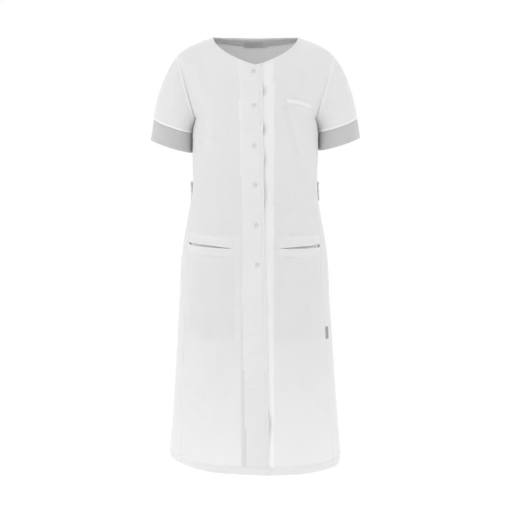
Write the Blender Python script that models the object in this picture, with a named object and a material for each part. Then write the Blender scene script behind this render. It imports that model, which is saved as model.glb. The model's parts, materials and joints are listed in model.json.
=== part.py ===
"""Knee-length medical tunic with short sleeves, in the hollow form it has when it is worn.

Metres, +Z up, +X to the wearer's left, -Y to the front. The origin is where the wearer's neck and
shoulders hold the garment: in the middle of the neck opening, at the height of the collarbones.
Each piece of cloth is a grid of points on the garment's outer surface, given a wall inwards.
"""

import functools
import math

import bpy
import numpy as np
from mathutils.bvhtree import BVHTree

CLOTH = 0.0015  # wall of a panel
BAND = 0.0022  # wall of a doubled piece: cuff, half belt, welt
LABEL = 0.0010  # wall of a label
LEAST_LEAN = 0.6  # a seam's wall direction counts as at least this square to the cloth
SEAM_GAP = 0.0003  # between two pieces that are sewn together
LAY_GAP = 0.0004  # between a panel and a piece that lies on it
LAP_GAP = 0.0009  # between the two fronts where they lap

HEM_Z = -0.9990  # hem at the sides
HEM_FRONT_DROP = 0.0062  # the hem hangs this much lower at the centre front
HEM_LEFT_DROP = 0.0058  # and this much lower at the wearer's left side, as much higher at the right
UNDERARM_Z = -0.165
SIDE_TURN = 86.0  # degrees from the centre front to the side seam, at the underarm
BACK_SIDE_TURN = SIDE_TURN + 1e-6  # the same seam, as the edge of the back

# Level sections of the body: half width, depths of the front and back from the side line, how full
# the section is between front and side, the turn of the side seam in degrees, and the middle's x.
BODY_SECTIONS = (
    # z, half_width, front, back, fullness, seam_turn, middle_x
    (-1.0200, 0.2150, 0.152, 0.142, 0.10, 59.0, 0.0010),
    (-0.9850, 0.2130, 0.151, 0.141, 0.10, 60.0, 0.0010),
    (-0.9100, 0.2064, 0.148, 0.136, 0.10, 62.0, 0.0006),
    (-0.8100, 0.1982, 0.143, 0.131, 0.10, 65.0, -0.0002),
    (-0.7100, 0.1913, 0.138, 0.126, 0.10, 64.0, -0.0014),
    (-0.6100, 0.1850, 0.132, 0.122, 0.12, 64.0, -0.0022),
    (-0.5300, 0.1803, 0.128, 0.119, 0.14, 63.0, -0.0026),
    (-0.4800, 0.1755, 0.125, 0.116, 0.15, 64.0, -0.0024),
    (-0.4400, 0.1696, 0.122, 0.110, 0.16, 67.0, -0.0026),
    (-0.4000, 0.1625, 0.119, 0.101, 0.16, 72.0, -0.0026),
    (-0.3740, 0.1576, 0.117, 0.094, 0.16, 77.0, -0.0022),
    (-0.3450, 0.1530, 0.117, 0.087, 0.17, 81.0, -0.0014),
    (-0.3100, 0.1508, 0.119, 0.086, 0.17, 83.0, -0.0012),
    (-0.2750, 0.1508, 0.125, 0.092, 0.18, 83.0, -0.0010),
    (-0.2400, 0.1515, 0.132, 0.098, 0.19, 85.0, -0.0004),
    (-0.2000, 0.1505, 0.136, 0.101, 0.19, 86.0, 0.0),
    (-0.1650, 0.1450, 0.134, 0.103, 0.18, 86.0, 0.0),
)

# The neck edge as it is seen from ahead, on the wearer's left: cubic Bezier corners (x, z).
FRONT_NECK = ((0.000, -0.0415), (0.045, -0.0285), (0.098, 0.0000), (0.102, 0.0300))
BACK_NECK = ((0.000, 0.0320), (0.055, 0.0335), (0.090, 0.0300), (0.102, 0.0300))
# The shoulder seam, and the line that carries it on over the neck opening: corners (x, y, z).
SHOULDER = ((0.102, 0.000, 0.0300), (0.126, 0.001, 0.0220), (0.163, 0.003, 0.0110), (0.187, 0.005, -0.0125))
OVER_NECK = ((0.000, 0.000, 0.0580), (0.035, 0.000, 0.0540), (0.078, -0.001, 0.0380), (0.102, 0.000, 0.0300))
NECK_RATIO = SHOULDER[0][0] / SHOULDER[3][0]  # the share of the half width that lies below the neck opening

# How each column of the upper body leaves the underarm section and reaches the shoulder line, where
# 0 is the centre line and 1 the armhole. The neck edge cuts the columns that end over the opening.
FRONT_COLUMNS = (
    # across, leave_out, leave_up, reach_out, reach_down
    (0.00, 0.004, 0.060, 0.100, 0.050),
    (0.50, 0.002, 0.070, 0.047, 0.022),
    (0.80, 0.020, 0.056, 0.056, 0.026),
    (1.00, 0.054, 0.012, 0.062, 0.040),
)
BACK_COLUMNS = (
    (0.00, 0.006, 0.066, 0.115, 0.002),
    (0.20, 0.007, 0.072, 0.106, 0.002),
    (0.32, 0.008, 0.076, 0.080, 0.008),
    (0.44, 0.008, 0.078, 0.058, 0.013),
    (0.80, 0.026, 0.058, 0.055, 0.018),
    (1.00, 0.062, 0.012, 0.064, 0.042),
)
LEAN_SHARES = (0.12, 0.30)  # how much of a column's lean in x is taken at its foot and at its top

# The largest folds, as ridges (+) and troughs (-) along a line on the front or back.
FOLDS = (
    # face, x0, z0, x1, z1, spread, height
    ("front", -0.114, -0.150, -0.124, -0.225, 0.013, -0.0032),
    ("front", -0.098, -0.150, -0.110, -0.260, 0.016, 0.0022),
    ("front", 0.070, -0.150, 0.094, -0.240, 0.013, -0.0028),
    ("front", 0.092, -0.150, 0.112, -0.235, 0.016, 0.0022),
    ("front", 0.130, -0.030, 0.104, -0.085, 0.016, -0.0022),
    ("front", -0.128, -0.035, -0.106, -0.090, 0.016, -0.0018),
    ("front", 0.105, -0.800, 0.140, -0.880, 0.024, -0.0035),
    ("front", -0.150, -0.850, -0.090, -0.905, 0.024, -0.0030),
    ("front", -0.080, -0.720, -0.085, -0.990, 0.030, 0.0030),
    ("front", 0.085, -0.740, 0.095, -0.990, 0.030, 0.0028),
    ("back", -0.085, -0.230, -0.070, -0.460, 0.017, -0.0050),
    ("back", -0.042, -0.260, -0.034, -0.430, 0.015, 0.0024),
    ("back", -0.006, -0.245, -0.002, -0.450, 0.015, -0.0044),
    ("back", 0.032, -0.260, 0.028, -0.430, 0.015, 0.0022),
    ("back", 0.068, -0.235, 0.060, -0.465, 0.017, -0.0046),
    ("back", 0.104, -0.270, 0.096, -0.420, 0.016, 0.0020),
    ("back", -0.105, -0.640, -0.125, -0.990, 0.034, -0.0045),
    ("back", 0.098, -0.620, 0.122, -0.990, 0.034, -0.0042),
    ("back", -0.060, -0.060, -0.100, -0.150, 0.020, -0.0028),
    ("back", 0.066, -0.055, 0.104, -0.150, 0.020, -0.0026),
)

# Where the right front's edge runs down the left front, and how far the left front goes under it.
LAP_EDGE = (
    # z, x
    (-1.02, 0.0345),
    (-0.90, 0.0305),
    (-0.70, 0.0264),
    (-0.48, 0.0210),
    (-0.26, 0.0180),
    (-0.04, 0.0135),
)
LAP_UNDER_X = -0.020
LAP_NECK_Z = -0.040  # the lap edge meets the neck edge here
LAP_UPPER_FALL = 0.120  # and falls this much from there to the underarm
LAP_TURN_X = 0.001  # the left front turns up this far beyond the lap edge
LAP_STEP = 0.010  # the left front rises out from under the lap over this width

# Slit mouths of the two hip pockets, from the outer end near the side seam to the inner end.
MOUTH_OUTER_X = 0.150
MOUTH_INNER_X = 0.056
MOUTH_OUTER_Z = {"right": -0.4640, "left": -0.4680}
MOUTH_INNER_Z = -0.4690
MOUTH_HEIGHT = 0.0075
MOUTH_END_HEIGHT = 0.0016
MOUTH_BOW = 0.6  # below 1, the mouth opens faster from its ends
MOUTH_CELLS_X = (MOUTH_INNER_X - 0.010, MOUTH_OUTER_X + 0.002)  # cells of the front left out lie between these

POCKET_TOP_Z = -0.440
POCKET_BOTTOM_Z = -0.688
POCKET_INNER_X = 0.040
POCKET_ROWS_Z = (POCKET_BOTTOM_Z, -0.660, -0.620, -0.575, -0.530, -0.495, -0.478, -0.464, -0.451, POCKET_TOP_Z)
POCKET_COLUMN_COUNT = 9
POCKET_SEAM_TURN = 2.5  # degrees from the side seam to the bag's outer edge
POCKET_FULL_LEVEL = 1.6  # above 1, the bag stands off the most above its middle
POCKET_DEPTH = 0.011  # the pocket bag stands this far off the front at the mouth

SLEEVE_END = {  # the edge that the cuff is sewn to: a slanting oval
    "centre": (0.1998, 0.016, -0.1835),
    "across": (0.0475, 0.000, 0.0165),
    "along": (0.000, 0.062, 0.0075),
}
CUFF_END = {
    "centre": (0.2042, 0.018, -0.2300),
    "across": (0.0508, 0.000, 0.0145),
    "along": (0.000, 0.066, 0.0070),
}
SLEEVE_LEAVES = {"underarm": (0.60, -0.08), "shoulder": (0.64, -0.72)}  # how it leaves the armhole: out, up
SLEEVE_SPREAD = 0.50  # how much of that leaves to the front and back, halfway between the two
SLEEVE_SPREAD_LOSS = 0.3  # the share of the spread that is lost towards the shoulder
SLEEVE_REACHES = (0.33, 0.36)  # Bezier reaches at the armhole and at the cuff, as shares of the length
SLEEVE_LIFT = {"right": -0.0030, "left": 0.0030}  # the right sleeve hangs a little lower than the left

SNAP_RADIUS = 0.0049
SNAP_HEIGHT = 0.0018
SNAP_RINGS = ((1.0, 0.0), (1.0, 0.45), (0.72, 1.0))  # shares of the radius and height, from the seat up
SNAP_SIDES = 12
SNAPS = (  # x, z of each cap on the right front, from the neck down
    (-0.0047, -0.0565),
    (-0.0032, -0.1351),
    (-0.0035, -0.2274),
    (-0.0007, -0.3199),
    (0.0019, -0.4136),
    (0.0040, -0.5069),
)

BELT_TOP_Z = -0.318
BELT_HEIGHT = 0.046
BELT_ROW_SHARES = (1.0, 0.5, 0.0)  # rows of the back that the belt lies along, from its lower edge up
BELT_OVER_FOLDS = 0.0024  # the belt bridges the troughs and presses on the ridges below it
BELT_STAND = 0.0036  # how much further the belt stands off the waist just inside its ends
BELT_STAND_AT = 0.82  # where it stands off most, from 0 at its middle to 1 at its ends
BELT_STAND_SPREAD = 0.12
BELT_SNAP_TURN = 103.5

FACING_FOOT_LEVEL = 1.885  # its lower edge, 21 mm below the neck edge
FACING_TOP_LEVEL = 1.995
NECK_LABEL = {"x": (-0.0300, 0.0185), "z": (0.0105, 0.0245)}
SIZE_TAB = {"x": (0.0200, 0.0290), "z": (0.0100, 0.0240)}
SIDE_LABEL = {"z": (-0.692, -0.663), "width": 0.012, "off_seam": 0.4}  # it starts 0.4 degrees behind the seam
WELT_LENGTH_X = (0.0728, 0.1305)
WELT_CENTRE = ((0.0728, -0.1255), (0.100, -0.1285), (0.1305, -0.1385))  # x, z
WELT_HEIGHT = 0.0105
WELT_STEPS = 9
LABEL_STEP = 0.012  # about how far apart a neck label's columns are

NECK_COLUMN_SHARES = (0.0, 0.2, 0.4, 0.6, 0.78, 0.91)  # from the centre line to the shoulder seam's neck end
SHOULDER_COLUMN_COUNT = 5  # columns along the shoulder seam, the same on the front and back
LAST_INNER_TURN = 78.0  # one more column, where the body turns most at the side
BACK_HALF_COUNT = len(NECK_COLUMN_SHARES) + SHOULDER_COLUMN_COUNT + 1
UPPER_ROW_COUNT = 11  # rows above the underarm
SLEEVE_ROW_COUNT = 8
SKIRT_TOP_Z = -0.520
SKIRT_ROW_COUNT = 14
BELOW_MOUTH_Z = -0.497
ABOVE_MOUTH_Z = -0.445
BELOW_BELT_Z = -0.384
HIP_ROW_COUNT = 4
ABOVE_BELT_Z = -0.295
CHEST_ROW_COUNT = 7


# ---------------------------------------------------------------- curves and tables


@functools.lru_cache(maxsize=None)
def column_curve(rows, column):
    """A column of a table, with its slope at each row."""
    keys = np.array([row[0] for row in rows])
    values = np.array([row[column] for row in rows])
    return keys, values, np.gradient(values, keys)


@functools.lru_cache(maxsize=None)
def read_table(rows, key, column):
    """The value in a column where the first column is key, on a smooth curve through the rows."""
    keys, values, slopes = column_curve(rows, column)
    i = int(np.clip(np.searchsorted(keys, key) - 1, 0, len(keys) - 2))
    span = keys[i + 1] - keys[i]
    t = min(max((key - keys[i]) / span, 0.0), 1.0)
    rise = values[i + 1] - values[i]
    ease = t * t * (3 - 2 * t)
    return (
        values[i]
        + rise * ease
        + span * slopes[i] * t * (1 - t) ** 2
        - span * slopes[i + 1] * t * t * (1 - t)
    )


def bezier(corners, t):
    a, b, c, d = (np.asarray(corner, float) for corner in corners)
    return a * (1 - t) ** 3 + 3 * b * t * (1 - t) ** 2 + 3 * c * t * t * (1 - t) + d * t**3


def bezier_at_x(corners, x):
    """The point of a curve that runs outwards in x, where it reaches that x."""
    a, b, c, d = (corner[0] for corner in corners)
    low, high = 0.0, 1.0
    for _ in range(30):
        t = (low + high) / 2
        reached = a * (1 - t) ** 3 + 3 * b * t * (1 - t) ** 2 + 3 * c * t * t * (1 - t) + d * t**3
        low, high = (t, high) if reached < x else (low, t)
    return bezier(corners, (low + high) / 2)


def unit(vector):
    vector = np.asarray(vector, float)
    return vector / max(np.linalg.norm(vector), 1e-12)


def fold_height(face, x, z):
    """How far the folds of a face raise the cloth at a place."""
    total = 0.0
    for where, x0, z0, x1, z1, spread, height in FOLDS:
        if where != face:
            continue
        run = np.array([x1 - x0, z1 - z0])
        reach = np.array([x - x0, z - z0])
        along = min(max(reach @ run / (run @ run), 0.0), 1.0)
        off = np.linalg.norm(reach - along * run)
        total += height * math.exp(-((off / spread) ** 2))
    return total


# ---------------------------------------------------------------- the body's surface


def folded(point, front):
    """The point moved out of or into the body by the folds of its face."""
    x, y, z = point
    face, outward = ("front", -1) if front else ("back", 1)
    return np.array([x, y + outward * fold_height(face, x, z), z])


def section_point(turn, z):
    """A point of the level section at z, turned from the centre front: 90 is the wearer's left."""
    side = math.sin(math.radians(turn))
    ahead = math.cos(math.radians(turn))
    fullness = 1 + read_table(BODY_SECTIONS, z, 4) * side * side
    depth = read_table(BODY_SECTIONS, z, 2 if ahead > 0 else 3)
    x = read_table(BODY_SECTIONS, z, 6) + read_table(BODY_SECTIONS, z, 1) * side
    return np.array([x, -depth * ahead * fullness, z])


def hang(point):
    """The point lowered towards a hem that drops at the centre front and on the wearer's left."""
    low = min(max((UNDERARM_Z - point[2]) / (UNDERARM_Z - HEM_Z), 0.0), 1.0)
    ahead = min(max(-point[1] / 0.15, 0.0), 1.0)
    drop = HEM_FRONT_DROP * ahead + HEM_LEFT_DROP * point[0] / 0.2
    return point - np.array([0, 0, drop * low**4])


def lower_body(turn, z):
    """The body below the underarm."""
    return hang(folded(section_point(turn, z), abs(turn) < 90))


def share_below_neck(corners, neck):
    """How much of a column that aims over the neck opening lies below the neck edge."""
    low, high = 0.0, 1.0
    for _ in range(24):
        share = (low + high) / 2
        point = bezier(corners, share)
        low, high = (share, high) if point[2] < bezier_at_x(neck, point[0])[1] else (low, share)
    return high


@functools.lru_cache(maxsize=None)
def upper_column(turn):
    """The Bezier corners of a column above the underarm, its place across, and the share that is cloth."""
    start = section_point(turn, UNDERARM_Z)
    if turn <= SIDE_TURN:
        across, columns, neck, outward = turn / SIDE_TURN, FRONT_COLUMNS, FRONT_NECK, -1
    else:
        across, columns, neck, outward = (180 - turn) / (180 - SIDE_TURN), BACK_COLUMNS, BACK_NECK, 1
    ratio = start[0] / section_point(SIDE_TURN, UNDERARM_Z)[0]
    end = bezier_at_x(OVER_NECK if ratio < NECK_RATIO else SHOULDER, ratio * SHOULDER[3][0])
    leave_out, leave_up, reach_out, reach_down = (read_table(columns, across, i) for i in range(1, 5))
    lean = end[0] - start[0]
    corners = (
        start,
        start + np.array([LEAN_SHARES[0] * lean, outward * leave_out, leave_up]),
        end + np.array([-LEAN_SHARES[1] * lean, outward * reach_out, -reach_down]),
        end,
    )
    return corners, across, share_below_neck(corners, neck) if ratio < NECK_RATIO else 1.0


def upper_body(turn, rise):
    """The body above the underarm: rise goes from 0 at the underarm to 1 at the neck or shoulder."""
    corners, across, share = upper_column(abs(turn))
    plain = bezier(corners, rise * share) * np.array([-1 if turn < 0 else 1, 1, 1])
    keep = (1 - across**6) * (1 - rise**8)  # no fold moves the armhole, the neck edge or the shoulder seam
    return plain + (folded(plain, abs(turn) <= SIDE_TURN) - plain) * keep


def body(turn, level):
    """The whole surface. A level up to 0 is a height below the origin, and 1 to 2 is the upper rise."""
    if level <= UNDERARM_Z:
        return lower_body(turn, level)
    return upper_body(turn, level - 1)


def turn_at_x(x, z):
    """The turn of the front where the section at z has that x."""
    return math.degrees(math.asin((x - read_table(BODY_SECTIONS, z, 6)) / read_table(BODY_SECTIONS, z, 1)))


def rise_at_z(turn, z):
    """How far up its upper column the point at z is."""
    low, high = 0.0, 1.0
    for _ in range(20):
        rise = (low + high) / 2
        low, high = (rise, high) if upper_body(turn, rise)[2] < z else (low, rise)
    return rise


def upper_place(x, z, start_turn):
    """The (turn, level) of the upper body's point at x and z, looked for from a turn."""
    turn = start_turn
    for _ in range(6):
        rise = rise_at_z(turn, z)
        off = upper_body(turn, rise)[0] - x
        slope = (upper_body(wrapped(turn + 0.5), rise)[0] - upper_body(wrapped(turn - 0.5), rise)[0])
        turn -= off / slope
    return turn, 1 + rise


def front_place(x, z):
    """The (turn, level) of the front's point at x and z, wherever on the front it is."""
    start = turn_at_x(x, min(z, UNDERARM_Z))
    return (start, z) if z <= UNDERARM_Z else upper_place(x, z, start)


def wrapped(turn):
    """The same turn between -180 and 180."""
    return (turn + 180) % 360 - 180


def raised(turn, level, height):
    """A point that stands off the body's surface by a height, or inside it where that is negative."""
    here = body(wrapped(turn), level)
    if height == 0:
        return here
    step = 0.002 if level <= UNDERARM_Z else 0.01
    low, high = (level - step, level) if level <= UNDERARM_Z else (max(level - step, 1), min(level + step, 2))
    across = body(wrapped(turn + 0.5), level) - body(wrapped(turn - 0.5), level)
    along = body(wrapped(turn), high) - body(wrapped(turn), low)
    return here + height * unit(np.cross(across, along))


# ---------------------------------------------------------------- solids from grids


def grid_faces(rows, columns, closed=False, holes=()):
    """Quads of a grid of points; holes are (row, column) cells left out."""
    faces = []
    for i in range(rows - 1):
        for j in range(columns if closed else columns - 1):
            if (i, j) not in holes:
                k = (j + 1) % columns
                faces.append((i * columns + j, i * columns + k, (i + 1) * columns + k, (i + 1) * columns + j))
    return faces


def vertex_normals(points, faces):
    normals = np.zeros_like(points)
    for face in faces:
        a, b, c, d = (points[i] for i in face)
        normal = np.cross(c - a, d - b)
        for i in face:
            normals[i] += normal
    return np.array([unit(normal) for normal in normals])


def split_quad(points, quad):
    """Two triangles of a quad, parted along its shorter diagonal."""
    a, b, c, d = quad
    if np.linalg.norm(points[a] - points[c]) < np.linalg.norm(points[b] - points[d]):
        return [(a, b, c), (a, c, d)]
    return [(a, b, d), (b, c, d)]


class Panel:
    """A piece of cloth: points of its outer surface in rows and columns, and its wall."""

    def __init__(self, name, rows, wall, material, closed=False, holes=()):
        self.name, self.wall, self.material = name, wall, material
        grid = np.array(rows, float)
        self.rows, self.columns = grid.shape[:2]
        self.closed = closed
        self.points = grid.reshape(-1, 3)
        self.faces = grid_faces(self.rows, self.columns, closed, holes)
        self.normals = vertex_normals(self.points, self.faces)
        self.directions = self.normals.copy()
        self.leans = np.ones(len(self.points))
        self.tree = BVHTree.FromPolygons([tuple(point) for point in self.points], self.faces)

    def draw_in(self, amount):
        """Moves the edge points back from the seams, along the cloth."""
        grid = self.points.reshape(self.rows, self.columns, 3)
        drawn = grid.copy()
        for edge, inner in ((0, 1), (self.rows - 1, self.rows - 2)):
            for j in range(self.columns):
                drawn[edge, j] += amount * unit(grid[inner, j] - grid[edge, j])
        if not self.closed:
            for edge, inner in ((0, 1), (self.columns - 1, self.columns - 2)):
                for i in range(self.rows):
                    drawn[i, edge] += amount * unit(grid[i, inner] - grid[i, edge])
        self.points = drawn.reshape(-1, 3)

    def build(self):
        """The closed solid: the outer skin, the inner skin, and a wall along every free edge."""
        count = len(self.points)
        inner = self.points - self.directions * (self.wall / self.leans)[:, None]
        points = np.vstack([self.points, inner])
        skin = [half for a, b, c, d in self.faces for half in ((a, b, c), (a, c, d))]
        faces = skin + [(count + c, count + b, count + a) for a, b, c in skin]
        edges = {(a, b) for face in self.faces for a, b in zip(face, face[1:] + face[:1])}
        for a, b in sorted(edges):
            if (b, a) not in edges:
                faces += split_quad(points, (b, a, count + a, count + b))
        used = sorted({i for face in faces for i in face})
        place = {old: new for new, old in enumerate(used)}
        faces = [tuple(place[i] for i in face) for face in faces]
        add_object(self.name, points[used], faces, self.material)


def share_seam_directions(panels):
    """Gives points that two panels share on a seam one direction for their walls."""
    found = {}
    for panel in panels:
        for i, point in enumerate(panel.points):
            found.setdefault(tuple(np.round(point, 5)), []).append((panel, i))
    for owners in found.values():
        if len({panel.name for panel, _ in owners}) > 1:
            direction = unit(sum(panel.normals[i] for panel, i in owners))
            lean = np.mean([direction @ panel.normals[i] for panel, i in owners])
            for panel, i in owners:
                panel.directions[i] = direction
                panel.leans[i] = max(lean, LEAST_LEAN)


def add_object(name, points, faces, material):
    mesh = bpy.data.meshes.new(name)
    mesh.from_pydata([tuple(point) for point in points], [], faces)
    mesh.materials.append(material)
    mesh.shade_smooth()
    mesh.set_sharp_from_angle(angle=math.radians(35))
    obj = bpy.data.objects.new(name, mesh)
    bpy.context.scene.collection.objects.link(obj)
    return obj


def make_material(name, colour, roughness, metallic=0.0):
    material = bpy.data.materials.new(name)
    material.use_nodes = True
    shader = material.node_tree.nodes["Principled BSDF"]
    shader.inputs["Base Color"].default_value = (*colour, 1.0)
    shader.inputs["Roughness"].default_value = roughness
    shader.inputs["Metallic"].default_value = metallic
    return material


# ---------------------------------------------------------------- fronts and back


def mouth_lips(side, x):
    """The heights of a pocket mouth's lower and upper lip at a distance from the centre."""
    share = min(max((abs(x) - MOUTH_INNER_X) / (MOUTH_OUTER_X - MOUTH_INNER_X), 0.0), 1.0)
    middle = MOUTH_INNER_Z + (MOUTH_OUTER_Z[side] - MOUTH_INNER_Z) * share
    bow = math.sin(math.pi * share) ** MOUTH_BOW
    height = MOUTH_END_HEIGHT + (MOUTH_HEIGHT - MOUTH_END_HEIGHT) * bow
    return middle - height / 2, middle + height / 2


def lower_levels():
    """The heights of the rows below the underarm; the two at the pocket mouth are found by side."""
    below = [*np.linspace(HEM_Z, SKIRT_TOP_Z, SKIRT_ROW_COUNT), BELOW_MOUTH_Z]
    belt = [BELT_TOP_Z - BELT_HEIGHT * share for share in BELT_ROW_SHARES]
    hip = np.linspace(ABOVE_MOUTH_Z, BELOW_BELT_Z, HIP_ROW_COUNT)
    chest = np.linspace(ABOVE_BELT_Z, UNDERARM_Z, CHEST_ROW_COUNT)
    return below, [*hip, *belt, *chest]


def panel_levels():
    below, above = lower_levels()
    upper = [1 + (i + 1) / UPPER_ROW_COUNT for i in range(UPPER_ROW_COUNT)]
    return below, above + upper


def column_turns():
    """The turns at the underarm from the centre line to the side seam, closer where the neck edge bends."""
    neck_turn = math.degrees(math.asin(NECK_RATIO * math.sin(math.radians(SIDE_TURN))))
    turns = [neck_turn * share for share in NECK_COLUMN_SHARES]
    for i in range(SHOULDER_COLUMN_COUNT):
        ratio = NECK_RATIO + (1 - NECK_RATIO) * i / SHOULDER_COLUMN_COUNT
        turns.append(math.degrees(math.asin(ratio * math.sin(math.radians(SIDE_TURN)))))
    return turns + [LAST_INNER_TURN, SIDE_TURN]


def seam_turn(level):
    return read_table(BODY_SECTIONS, level, 5) if level < UNDERARM_Z else SIDE_TURN


def lap_edge_x(level):
    z = level if level <= UNDERARM_Z else LAP_NECK_Z - LAP_UPPER_FALL * (2 - level)
    return read_table(LAP_EDGE, z, 1)


def front_turns(side, level):
    """The turns of a front's columns at a level, from its centre edge to the side seam."""
    z = min(level, UNDERARM_Z)
    scale = seam_turn(level) / SIDE_TURN
    edge_x = lap_edge_x(level)
    if side == "right":
        return [turn_at_x(edge_x, z)] + [-turn * scale for turn in column_turns()]
    centre = [turn_at_x(x, z) for x in (LAP_UNDER_X, 0.0, edge_x + LAP_TURN_X, edge_x + LAP_TURN_X + LAP_STEP)]
    return centre + [turn * scale for turn in column_turns()[3:]]


def front_sink(side, column):
    """How deep a column of the left front lies under the lap."""
    return CLOTH + LAP_GAP if side == "left" and column < 3 else 0.0


def front_panel(side, material):
    below, above = panel_levels()
    rows = []
    for level in below:
        rows.append([raised(t, level, -front_sink(side, j)) for j, t in enumerate(front_turns(side, level))])
    lips = [[], []]
    turns = front_turns(side, MOUTH_INNER_Z)
    for j, turn in enumerate(turns):
        x = section_point(turn, MOUTH_INNER_Z)[0]
        for row, z in zip(lips, mouth_lips(side, x)):
            row.append(raised(front_turns(side, z)[j], z, -front_sink(side, j)))
    lip_row = len(rows)
    rows += lips
    for level in above:
        rows.append([raised(t, level, -front_sink(side, j)) for j, t in enumerate(front_turns(side, level))])
    holes = set()
    for j in range(len(turns) - 1):
        ends = [abs(section_point(turn, MOUTH_INNER_Z)[0]) for turn in turns[j : j + 2]]
        if min(ends) > MOUTH_CELLS_X[0] and max(ends) < MOUTH_CELLS_X[1]:
            holes.add((lip_row, j))
    if side == "right":
        rows = [row[::-1] for row in rows]
        holes = {(i, len(turns) - 2 - j) for i, j in holes}
    return Panel(f"front_{side}", rows, CLOTH, material, holes=holes)


def back_turn(column, level):
    """The turn of a column of the back at a level, from the left side seam round to the right one."""
    seam = seam_turn(level) if level < UNDERARM_Z else BACK_SIDE_TURN
    turns = column_turns()[:-1] + [180 - BACK_SIDE_TURN]
    from_centre = turns[abs(column - BACK_HALF_COUNT)] * (180 - seam) / turns[-1]
    return wrapped(180 - from_centre if column <= BACK_HALF_COUNT else 180 + from_centre)


def back_panel(material):
    below, above = panel_levels()
    lip_levels = [[mouth_lips(side, 1.0)[i] for side in ("left", "right")] for i in range(2)]
    levels = below + [tuple(pair) for pair in lip_levels] + above
    rows = []
    for level in levels:
        row = []
        for j in range(2 * BACK_HALF_COUNT + 1):
            share = j / (2 * BACK_HALF_COUNT)
            at = level if not isinstance(level, tuple) else level[0] + (level[1] - level[0]) * share
            row.append(body(back_turn(j, at), at))
        rows.append(row)
    return Panel("back", rows, CLOTH, material)


# ---------------------------------------------------------------- sleeves and cuffs


def oval(end, side, turn):
    """A point of a slanting oval: turn 0 is its outer end, 90 its back, 180 its inner end."""
    centre, across, along = (np.array(end[key]) for key in ("centre", "across", "along"))
    return centre + across * math.cos(turn) + along * math.sin(turn) + np.array([0, 0, SLEEVE_LIFT[side]])


def armhole():
    """The loop of the left armhole: from the underarm up the front, over and down the back."""
    rises = [i / UPPER_ROW_COUNT for i in range(UPPER_ROW_COUNT + 1)]
    front = [upper_body(SIDE_TURN, rise) for rise in rises]
    back = [upper_body(BACK_SIDE_TURN, rise) for rise in rises]
    loop = front + back[-2:0:-1]
    lengths = np.linalg.norm(np.diff(np.array(loop + loop[:1]), axis=0), axis=1)
    ways = np.concatenate([[0], np.cumsum(lengths)])
    top = ways[UPPER_ROW_COUNT]
    turns = []
    for i in range(len(loop)):
        if i <= UPPER_ROW_COUNT:
            turns.append(-math.pi + math.pi * ways[i] / top)
        else:
            turns.append(math.pi * (ways[i] - top) / (ways[-1] - top))
    return loop, turns


def sleeve_rows(side):
    """Rows of a sleeve from its cuff end up to the armhole, for either side."""
    loop, turns = armhole()
    axis = unit(np.array(CUFF_END["centre"]) - np.array(SLEEVE_END["centre"]))
    columns = []
    for start, turn in zip(loop, turns):
        end = oval(SLEEVE_END, side, turn)
        reach = np.linalg.norm(end - start)
        top = (1 + math.cos(turn)) / 2  # 1 at the shoulder, 0 at the underarm
        spread = SLEEVE_SPREAD * math.sin(turn) * (1 - SLEEVE_SPREAD_LOSS * top)
        out, up = (low + (high - low) * top for low, high in zip(*SLEEVE_LEAVES.values()))
        away = unit((out, spread, up))
        corners = (start, start + SLEEVE_REACHES[0] * reach * away, end - SLEEVE_REACHES[1] * reach * axis, end)
        columns.append([bezier(corners, 1 - i / SLEEVE_ROW_COUNT) for i in range(SLEEVE_ROW_COUNT + 1)])
    rows = [[column[i] for column in columns] for i in range(SLEEVE_ROW_COUNT + 1)]
    return rows if side == "left" else mirrored(rows)


def cuff_rows(side):
    _, turns = armhole()
    rows = []
    for share in (1.0, 0.5, 0.0):
        row = []
        for turn in turns:
            low, high = oval(CUFF_END, side, turn), oval(SLEEVE_END, side, turn)
            row.append(high + (low - high) * share)
        rows.append(row)
    return rows if side == "left" else mirrored(rows)


def mirrored(rows):
    """The rows on the wearer's other side, still facing out."""
    return [[point * np.array([-1, 1, 1]) for point in row[::-1]] for row in rows]


# ---------------------------------------------------------------- small pieces


def off_panel(panel, turn, level, height):
    """A point that stands off a panel's facets, near the body's point at a turn and level."""
    here = body(wrapped(turn), level)
    outward = unit(raised(turn, level, 1.0) - here)
    seat = panel.tree.find_nearest(here)[0]
    return np.array(seat) + outward * height


def pocket_bag(front, side, material):
    sign = -1 if side == "right" else 1
    shares = np.linspace(0, 1, POCKET_COLUMN_COUNT)
    rows = []
    for z in POCKET_ROWS_Z:
        outer = read_table(BODY_SECTIONS, z, 5) - POCKET_SEAM_TURN
        inner = turn_at_x(POCKET_INNER_X, z)
        row = []
        for share in shares:
            turn = sign * (inner + (outer - inner) * share)
            level = (z - POCKET_BOTTOM_Z) / (POCKET_TOP_Z - POCKET_BOTTOM_Z)
            slack = math.sqrt(math.sin(math.pi * share) * math.sin(math.pi * level**POCKET_FULL_LEVEL))
            row.append(off_panel(front, turn, z, -(CLOTH + LAY_GAP + POCKET_DEPTH * slack)))
        rows.append(row if sign > 0 else row[::-1])
    return Panel(f"pocket_bag_{side}", rows, CLOTH, material)


def chest_welt(front, material):
    steps = WELT_STEPS
    rows = []
    for edge in (-0.5, 0.5):
        row = []
        for i in range(steps + 1):
            x = WELT_LENGTH_X[0] + (WELT_LENGTH_X[1] - WELT_LENGTH_X[0]) * i / steps
            z = read_table(WELT_CENTRE, x, 1) + edge * WELT_HEIGHT
            turn, level = front_place(x, z)
            row.append(off_panel(front, turn, level, BAND + 2 * LAY_GAP))
        rows.append(row)
    return Panel("chest_welt", rows, BAND, material)


def back_place(x, z):
    """The (turn, level) of the upper back's point at x and z."""
    turn, level = upper_place(abs(x), z, 180 - turn_at_x(abs(x), UNDERARM_Z))
    return math.copysign(turn, x), level


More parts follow.
